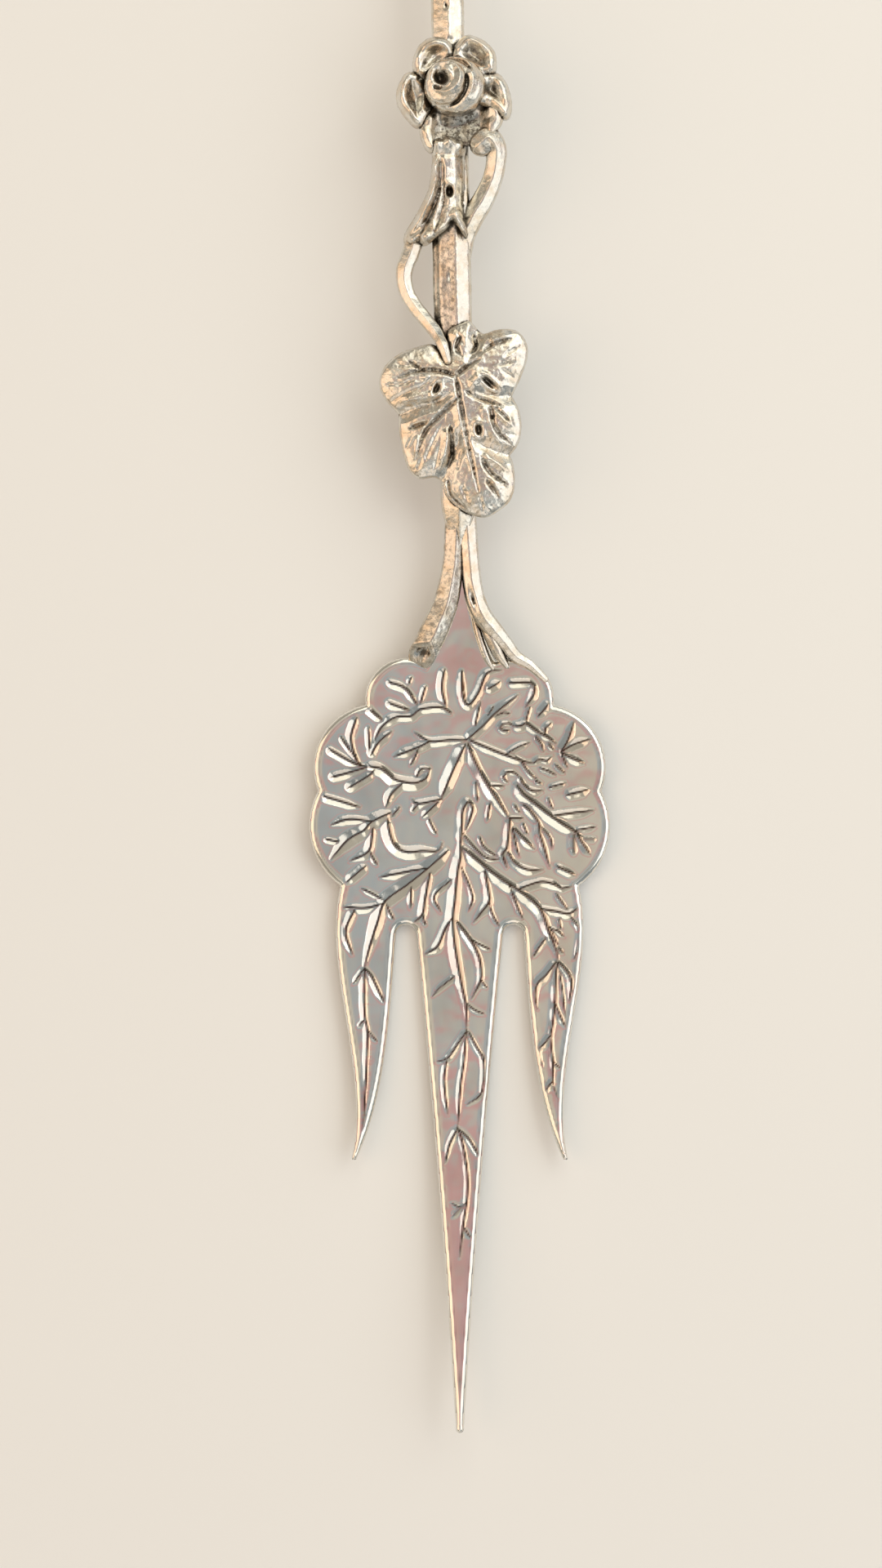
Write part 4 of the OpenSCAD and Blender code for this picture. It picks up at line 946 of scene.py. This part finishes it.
# Rose: five shell petals with rolled rims round a rolled bud, in the plane of its seat
rose = {
    "fromNeck": 42.05, "x": 0.35, "seat": 0.6, "pitch": 0.09, "margin": 0.3, "thick": 1.0,
    "bed": 0.9, "bedRise": 0.15, "bedFrom": 2.4, "bedMost": 2, "bedWave": 0.06,
    "leastThick": 0.2, "waveScale": 0.9, "outlineStep": 0.25, "freeFrom": 2.5, "freeOver": 0.9,
    "bedShadeTo": 0.45, "skin": (0.5, 0.025),
    "rimAt": 0.6, "rimOut": 0.6, "rimIn": 0.7, "rims": [0.85, 0.9, 0.85, 0.5, 0.9], "rimWave": 0.2,
    "drops": [0.1, 0.1, 0.1, 0.15, 0.1], "edgeDrop": 0.2, "edgeWidth": 0.2,
    "underRise": 0.4, "underOver": 0.5,
    "collars": [0.5, 0.9, 1.2, 0.2, 0.3], "collarAt": 2.5, "collarOver": 0.6,  # how each petal climbs the bud
    # painted shade in the petal beds, under the rims and by the bud
    "shadeAndPatina": 0.34,
    "hollow": 3,  # the petal whose rim is open at the calyx, and how
    "hollowX": 0.6, "hollowHalf": 1.3, "hollowCore": 1.6, "hollowEdge": 0.8,
    # the open petal's hollow under the bud gets deeper painted shade
    "hollowDrop": 0.3, "hollowShade": 0.55,
    "outlines": [  # from the bud round the outside
        [(-1.4, 0.7), (-2.7, 0.7), (-3.44, 1.15), (-3.62, 2.12), (-3.37, 3.08), (-2.89, 3.9), (-2.22, 4.38),
         (-1.48, 4.56), (-0.67, 4.34), (-0.05, 3.9), (0.2, 3.2), (0.2, 1.6)],
        [(0.0, 1.2), (0.0, 2.6), (0.05, 3.4), (0.4, 3.95), (0.89, 4.45), (1.56, 4.62), (2.59, 4.27),
         (3.33, 3.67), (3.81, 3.05), (3.95, 2.27), (3.8, 1.15), (3.0, 0.7), (1.6, 0.5)],
        [(1.5, 0.3), (2.8, 1.1), (3.5, 1.25), (4.07, 1.15), (4.6, 0.55), (4.96, -0.25), (5.2, -1.21),
         (5.2, -2.1), (4.95, -2.85), (4.4, -2.95), (3.63, -2.3), (2.9, -1.85), (1.5, -1.2)],
        [(0.0, -1.0), (-1.8, -1.6), (-2.9, -2.9), (-3.1, -3.9), (-2.9, -4.8), (-2.5, -5.55), (-1.9, -5.85),
         (-0.8, -5.4), (0.6, -5.2), (2.2, -5.0), (3.6, -4.2), (4.4, -3.0), (4.0, -1.8), (2.0, -1.2)],
        [(-1.3, -1.0), (-1.6, 0.7), (-2.9, 1.1), (-3.5, 1.45), (-4.2, 1.35), (-4.7, 0.7), (-5.1, -0.25),
         (-5.1, -1.21), (-4.75, -2.03), (-4.2, -2.8), (-3.55, -3.45), (-2.9, -3.5), (-2.2, -2.4)],
    ],
    # the bud as a turned cone, then its wraps
    "budMiddle": (0.15, -0.05), "budTall": 0.94, "budSides": 180, "budStep": 0.06,
    "budProfile": [(0, 3.75), (0.5, 3.7), (1.0, 3.5), (1.6, 3.22), (2.2, 2.92), (2.55, 2.62), (2.72, 2.2),
                   (2.75, 1.5), (2.6, 0.6), (1.6, -0.1), (0, -0.2)],
    "wrapFrom": 2.2, "wrapOver": 0.4, "budSkin": (0.6, 0.03),
    "mouth": (-1.05, 0.4, 0.55, 0.62, 25, 1.1), "mouthPower": 2.5, "mouthDull": 0.9,
    "tongue": (-0.55, 0.95, 0.42, 0.5),
    "step": (-0.75, 0.0, 1.9, 0.25, 0.35),  # the inner wrap stands over the outer one
    "ridge": (0.5, 0.32), "ridges": [
        [(-2.1, 0.4), (-1.75, 1.35), (-0.8, 1.75), (0.2, 1.45), (0.6, 0.7), (0.5, -0.1), (0.0, -0.7),
         (-0.7, -0.95), (-1.6, -0.7)],
        [(1.5, 1.1), (1.75, 0.2), (1.5, -0.9), (0.9, -1.75), (0.0, -2.3)],
    ],
    "crease": (0.28, 0.4), "creases": [
        [(1.15, 0.6), (1.15, -0.1), (0.95, -0.75), (0.55, -1.35), (0.05, -1.8), (-0.5, -2.1)],
        [(-1.2, 2.15), (-0.3, 2.35), (0.7, 2.0), (1.3, 1.5), (1.7, 1.0)],
        [(-1.75, -0.35), (-1.4, -0.5), (-0.9, -0.5)],
    ],
    "wrap": (0.7, 0.18), "wraps": [[(1.9, 1.2), (2.2, 0.4), (2.25, -0.5), (1.9, -1.4), (1.2, -2.0)]],
}


def onRose():
    return onStem(rose["fromNeck"], rose["seat"]) @ Matrix.Translation((rose["x"], 0, 0))


def makePetal(i):
    outline, rimUp, collar = rose["outlines"][i], rose["rims"][i], rose["collars"][i]
    line = smoothLine(outline + outline[:1], rose["outlineStep"])[:-1]

    def petalEdge(x, y):
        return polygonDistance(x, y, line)

    corner = line.min(axis=0) - rose["margin"]
    span = line.max(axis=0) + rose["margin"] - corner
    mesh, points, under, inward = plateMesh(f"rosePetal{i + 1}", corner, span, rose["pitch"], petalEdge)
    x, y = points.T[:2]
    out = np.hypot(x, y)
    free = clamp((out - rose["freeFrom"]) / rose["freeOver"])  # no rim towards the bud
    rise = rose["bedRise"] * np.clip(out - rose["bedFrom"], 0, rose["bedMost"])
    bed = rose["bed"] - rose["drops"][i] + rise
    bed += collar * np.exp(-((out - rose["collarAt"]) / rose["collarOver"]) ** 2)
    wave = ripple(x, y, rose["waveScale"], i)
    slope = np.where(inward < rose["rimAt"], rose["rimOut"], rose["rimIn"])
    rim = free * (rimUp + rose["rimWave"] * wave) * np.exp(-((inward - rose["rimAt"]) / slope) ** 2)
    shadeAndPatina = rose["shadeAndPatina"]
    if i == rose["hollow"]:
        past = np.abs(x - rose["hollowX"]) - rose["hollowHalf"]
        opened = clamp(rose["hollowCore"] - past / rose["hollowEdge"])
        rim = rim * (1 - opened)
        bed = bed - rose["hollowDrop"] * opened * free
        shadeAndPatina = rose["hollowShade"]
    top = bed + rim + rose["bedWave"] * wave - rounded(inward, rose["edgeDrop"], rose["edgeWidth"])
    low = bed - rose["thick"] + rounded(inward, rose["underRise"], rose["underOver"])
    points[:, 2] = np.where(under, np.minimum(low, top - rose["leastThick"]), top)
    shade = np.where(under, 0, shadeAndPatina * clamp(1 - rim / (rose["bedShadeTo"] * rimUp)))  # painted shade in the beds, none on the rims
    setShape(mesh, carry(onRose(), points), shade)
    finishCast(mesh, f"rosePetal{i + 1}", f"rose_petal_{i + 1}", rose["skin"])


def budForm(x, y):  # rise over the bud's cone, and how far a point is into its mouth
    ridge = cutGrooves(x, y, rose["ridges"], rose["ridge"])[0]
    crease = cutGrooves(x, y, rose["creases"], rose["crease"])[0]
    wrap = cutGrooves(x, y, rose["wraps"], rose["wrap"])[0]
    *oval, depth = rose["mouth"]
    mouth = np.exp(-fromOval(x, y, *oval) ** rose["mouthPower"])
    tongue = mound(x, y, *rose["tongue"])
    stepX, stepY, stepR, soft, rise = rose["step"]
    share = clamp((stepR - np.hypot(x - stepX, y - stepY)) / soft + 0.5)
    lift = ridge + wrap - crease - depth * mouth + tongue + rise * share * share * (3 - 2 * share)
    return lift, clamp(mouth - tongue)


def turnedForm(r, u, z):  # points of a turned shape
    return np.stack([r * np.cos(2 * math.pi * u), r * np.sin(2 * math.pi * u), z], 1)


def profileAt(profile, v):
    return profile[np.rint(v * (len(profile) - 1)).astype(int)].T


def makeBud():
    profile = smoothLine(rose["budProfile"], rose["budStep"])

    def shapeOf(u, v):
        r, z = profileAt(profile, v)
        x, y, z = (turnedForm(r, u, z) * (1, rose["budTall"], 1) + (*rose["budMiddle"], 0)).T
        z = z + budForm(x, y)[0] * clamp((z - rose["wrapFrom"]) / rose["wrapOver"])
        return carry(onRose(), np.stack([x, y, z], 1))

    mesh = rolledGrid("roseBud", rose["budSides"], len(profile) - 1, shapeOf)
    x, y = carry(onRose().inverted(), getPoints(mesh) / mm).T[:2]
    setPatinaShadeMask(mesh, rose["mouthDull"] * budForm(x, y)[1])
    finishCast(mesh, "roseBud", "rose_bud", rose["budSkin"])


# Handle end: closed bud held by five sepals
endBud = {
    "v": 80.12, "folds": 3, "twist": 0.09, "ledge": 0.055, "ledgeWide": 0.1,
    "ledgeEnd": 5.6, "ledgeOver": 1.5, "sides": 108, "step": 0.09, "skin": (0.7, 0.05),
    "profile": [(0, -3.2), (1.6, -2.77), (2.6, -1.85), (3.1, -0.75), (3.2, 0.1), (3.05, 1.1), (2.62, 2.4),
                (2.1, 3.6), (1.55, 4.7), (0.98, 5.5), (0.45, 5.9), (0, 6.0)],
    "sepals": 5, "sepalThick": 0.45, "sepalTip": 0.9, "sepalCut": 2.7, "sepalRib": 0.14, "sepalFoot": -3.55,
    "sepalCurve": 1.4, "sepalHalf": 0.48, "sepalClose": 0.12, "sepalGap": 0.03, "lowest": -3.19,
    "tipThin": 0.25, "tipFrom": 0.85, "tipOver": 0.15,
    "sepalColumns": 140, "sepalRows": 70, "sepalSkin": (0.7, 0.04),
}


def onEnd(points):  # the handle's end, where nothing reaches below the table
    points = carry(onStem(endBud["v"]) @ Matrix.Rotation(math.radians(-90), 4, "X"), points)
    points[:, 2] = np.maximum(points[:, 2], 0)
    return points


def sepalShape(u, v):
    part = np.abs((u * endBud["sepals"]) % 1 - 0.5) * 2
    edge = endBud["sepalTip"] - endBud["sepalCut"] * part ** endBud["sepalCurve"]
    outer = v < 0.5
    share = clamp(np.where(outer, v, 1 - v) / endBud["sepalHalf"])
    z = endBud["sepalFoot"] + (edge - endBud["sepalFoot"]) * share
    thin = endBud["tipThin"] * clamp(share - endBud["tipFrom"]) / endBud["tipOver"]
    thick = endBud["sepalThick"] + endBud["sepalRib"] * (1 - part) ** 3 - thin
    r, up = np.array(endBud["profile"]).T
    rim = np.interp(np.maximum(z, endBud["lowest"]), up, r) + np.where(outer, thick, endBud["sepalGap"])
    return onEnd(turnedForm(rim * clamp(share / endBud["sepalClose"]) ** 0.5, u, z))


def makeEnd():
    profile = smoothLine(endBud["profile"], endBud["step"])

    def budShape(u, v):
        r, z = profileAt(profile, v)
        turns = endBud["folds"] * u + endBud["twist"] * z
        part = turns - np.floor(turns)
        wide = endBud["ledgeWide"]
        ledge = np.where(part < wide, 1 - part / wide, ((part - wide) / (1 - wide)) ** 2)
        ledge = ledge * clamp((endBud["ledgeEnd"] - z) / endBud["ledgeOver"])
        return onEnd(turnedForm(r * (1 - endBud["ledge"] * (1 - ledge)), u, z))

    bud = rolledGrid("endBud", endBud["sides"], len(profile) - 1, budShape)
    finishCast(bud, "endBud", "end_bud", endBud["skin"])
    sepals = rolledGrid("endSepals", endBud["sepalColumns"], endBud["sepalRows"], sepalShape)
    finishCast(sepals, "endSepals", "end_sepals", endBud["sepalSkin"])


makeLeaf()
makeStem()
makeShoots()
makeTwigs()
makeCalyx()
for petal in range(len(rose["outlines"])):
    makePetal(petal)
makeBud()
makeEnd()

# Patina, together with painted shade, gathers where a point sees little open space round it
hollows = {"rays": 14, "reach": 2.2, "lift": 0.02, "gain": 2.0, "start": 0.18}


def darkenHollows():
    cast = [o for o in scene.objects if o.type == "MESH" and silverCast.name in o.data.materials]
    corners, faces = [], []
    for piece in cast:
        first = len(corners)
        corners += [v.co.copy() for v in piece.data.vertices]
        faces += [[first + i for i in p.vertices] for p in piece.data.polygons]
    tree = BVHTree.FromPolygons(corners, faces)
    golden = math.pi * (3 - math.sqrt(5))
    count = hollows["rays"]
    spread = [(math.sqrt((i + 0.5) / count), i * golden) for i in range(count)]  # cosine-weighted
    for piece in cast:
        mesh = piece.data
        points, normals = getPoints(mesh), getNormals(mesh)
        closed = np.zeros(len(points))
        for k, (p, n) in enumerate(zip(points, normals)):
            n = Vector(n)
            start = Vector(p) + n * hollows["lift"] * mm
            side = n.orthogonal().normalized()
            other = n.cross(side)
            for r, turn in spread:
                ray = side * (r * math.cos(turn)) + other * (r * math.sin(turn)) + n * math.sqrt(1 - r * r)
                hit = tree.ray_cast(start, ray, hollows["reach"] * mm)
                if hit[0] is not None:
                    closed[k] += 1 - hit[3] / (hollows["reach"] * mm)
        patinaShadeMask = clamp(hollows["gain"] * closed / count - hollows["start"])
        if "patinaShadeMask" in mesh.attributes:
            kept = np.empty(len(points), np.float32)
            mesh.attributes["patinaShadeMask"].data.foreach_get("value", kept)
            patinaShadeMask = np.maximum(patinaShadeMask, kept)
        setPatinaShadeMask(mesh, patinaShadeMask)


darkenHollows()
print("patina in the hollows")


# Floor, lights and camera
studio = {
    "floor": (0.85, 0.86, 0.86, 1), "floorHalf": 1.5, "floorZ": -0.0002, "floorRough": 0.85,
    "warmSide": (0.60, 0.555, 0.465, 1), "coolSide": (0.40, 0.44, 0.45, 1), "rosy": (0.62, 0.33, 0.32, 1),
    "rosyStops": [(0.1, 0), (0.22, 1), (0.29, 0), (0.49, 0), (0.55, 1), (0.85, 0)],
    "coolStops": [(0.2, 0), (0.8, 1)], "spread": 2.0, "middle": 0.5,  # where the stops lie round the fork
    "upStops": [(0, 0.85), (0.36, 0.78), (0.56, 0.4), (0.85, 1)],  # the walls are darker than the ceiling
    "viewHeight": 142.2, "viewX": -1.70, "viewY": -23.9, "focusZ": 3.0,
    "lens": 75, "sensor": 36, "nearest": 0.01,
}
panels = {  # direction round the fork, height above the table, distance, width, height, colour, brightness
    "rightPanel": (6, 40, 0.50, 0.76, 0.44, (1.0, 0.97, 0.90), 1.15),
    "farPanel": (68, 43, 0.50, 0.48, 0.46, (1.0, 0.93, 0.76), 1.15),
    "leftPanel": (180, 40, 0.50, 0.44, 0.44, (1.0, 0.72, 0.49), 1.15),
    "nearPanel": (-90, 38, 0.50, 0.34, 0.34, (1.0, 0.88, 0.78), 0.8),
}


def makeFloor():
    bm = bmesh.new()
    bmesh.ops.create_grid(bm, x_segments=1, y_segments=1, size=studio["floorHalf"])
    bmesh.ops.translate(bm, verts=bm.verts, vec=(0, 0, studio["floorZ"]))
    mesh = toMesh(bm, "floor")
    material, _, shader = newMaterial("paleFloor")
    shader.inputs["Base Color"].default_value = studio["floor"]
    shader.inputs["Roughness"].default_value = studio["floorRough"]
    mesh.materials.append(material)
    floor = addObject("floor", mesh)


def makeLights():
    target = Vector((0, studio["viewY"] * mm, 0))
    for name, (turn, height, away, wide, tall, colour, bright) in panels.items():
        lamp = bpy.data.lights.new(name, "AREA")
        lamp.shape = "RECTANGLE"
        lamp.size, lamp.size_y = wide, tall
        lamp.color = colour
        lamp.energy = bright * math.pi * wide * tall
        panel = addObject(name, lamp)
        turn, height = math.radians(turn), math.radians(height)
        level = math.cos(height)
        reach = Vector((math.cos(turn) * level, math.sin(turn) * level, math.sin(height)))
        panel.location = target + away * reach
        panel.rotation_euler = reach.to_track_quat("Z", "Y").to_euler()


def makeRoom():  # soft colours round the fork: cool to the right, rosy bands across it
    world = bpy.data.worlds.new("studio")
    world.use_nodes = True
    tree = world.node_tree
    place = addNode(tree, "ShaderNodeTexCoord")
    x, y, z = addNode(tree, "ShaderNodeSeparateXYZ", {0: place.outputs["Generated"]}).outputs
    rosy = rampNode(tree, timesPlus(tree, y, studio["spread"], studio["middle"]), studio["rosyStops"])
    cool = rampNode(tree, timesPlus(tree, x, studio["spread"], studio["middle"]), studio["coolStops"])
    ceiling = mixNode(tree, rosy, mixNode(tree, cool, studio["warmSide"], studio["coolSide"]), studio["rosy"])
    room = mixNode(tree, 1.0, ceiling, rampNode(tree, z, studio["upStops"]), "MULTIPLY")
    tree.links.new(room, tree.nodes["Background"].inputs["Color"])
    scene.world = world


def makeCamera():
    data = bpy.data.cameras.new("camera")
    data.sensor_fit = "VERTICAL"
    data.sensor_height = studio["sensor"]
    data.lens = studio["lens"]
    data.clip_start = studio["nearest"]
    camera = addObject("camera", data)
    rise = studio["viewHeight"] * studio["lens"] / studio["sensor"] + studio["focusZ"]
    camera.location = (studio["viewX"] * mm, studio["viewY"] * mm, rise * mm)
    scene.camera = camera


makeFloor()
makeLights()
makeRoom()
makeCamera()
scene.view_settings.view_transform = "Standard"
print("studio ready")
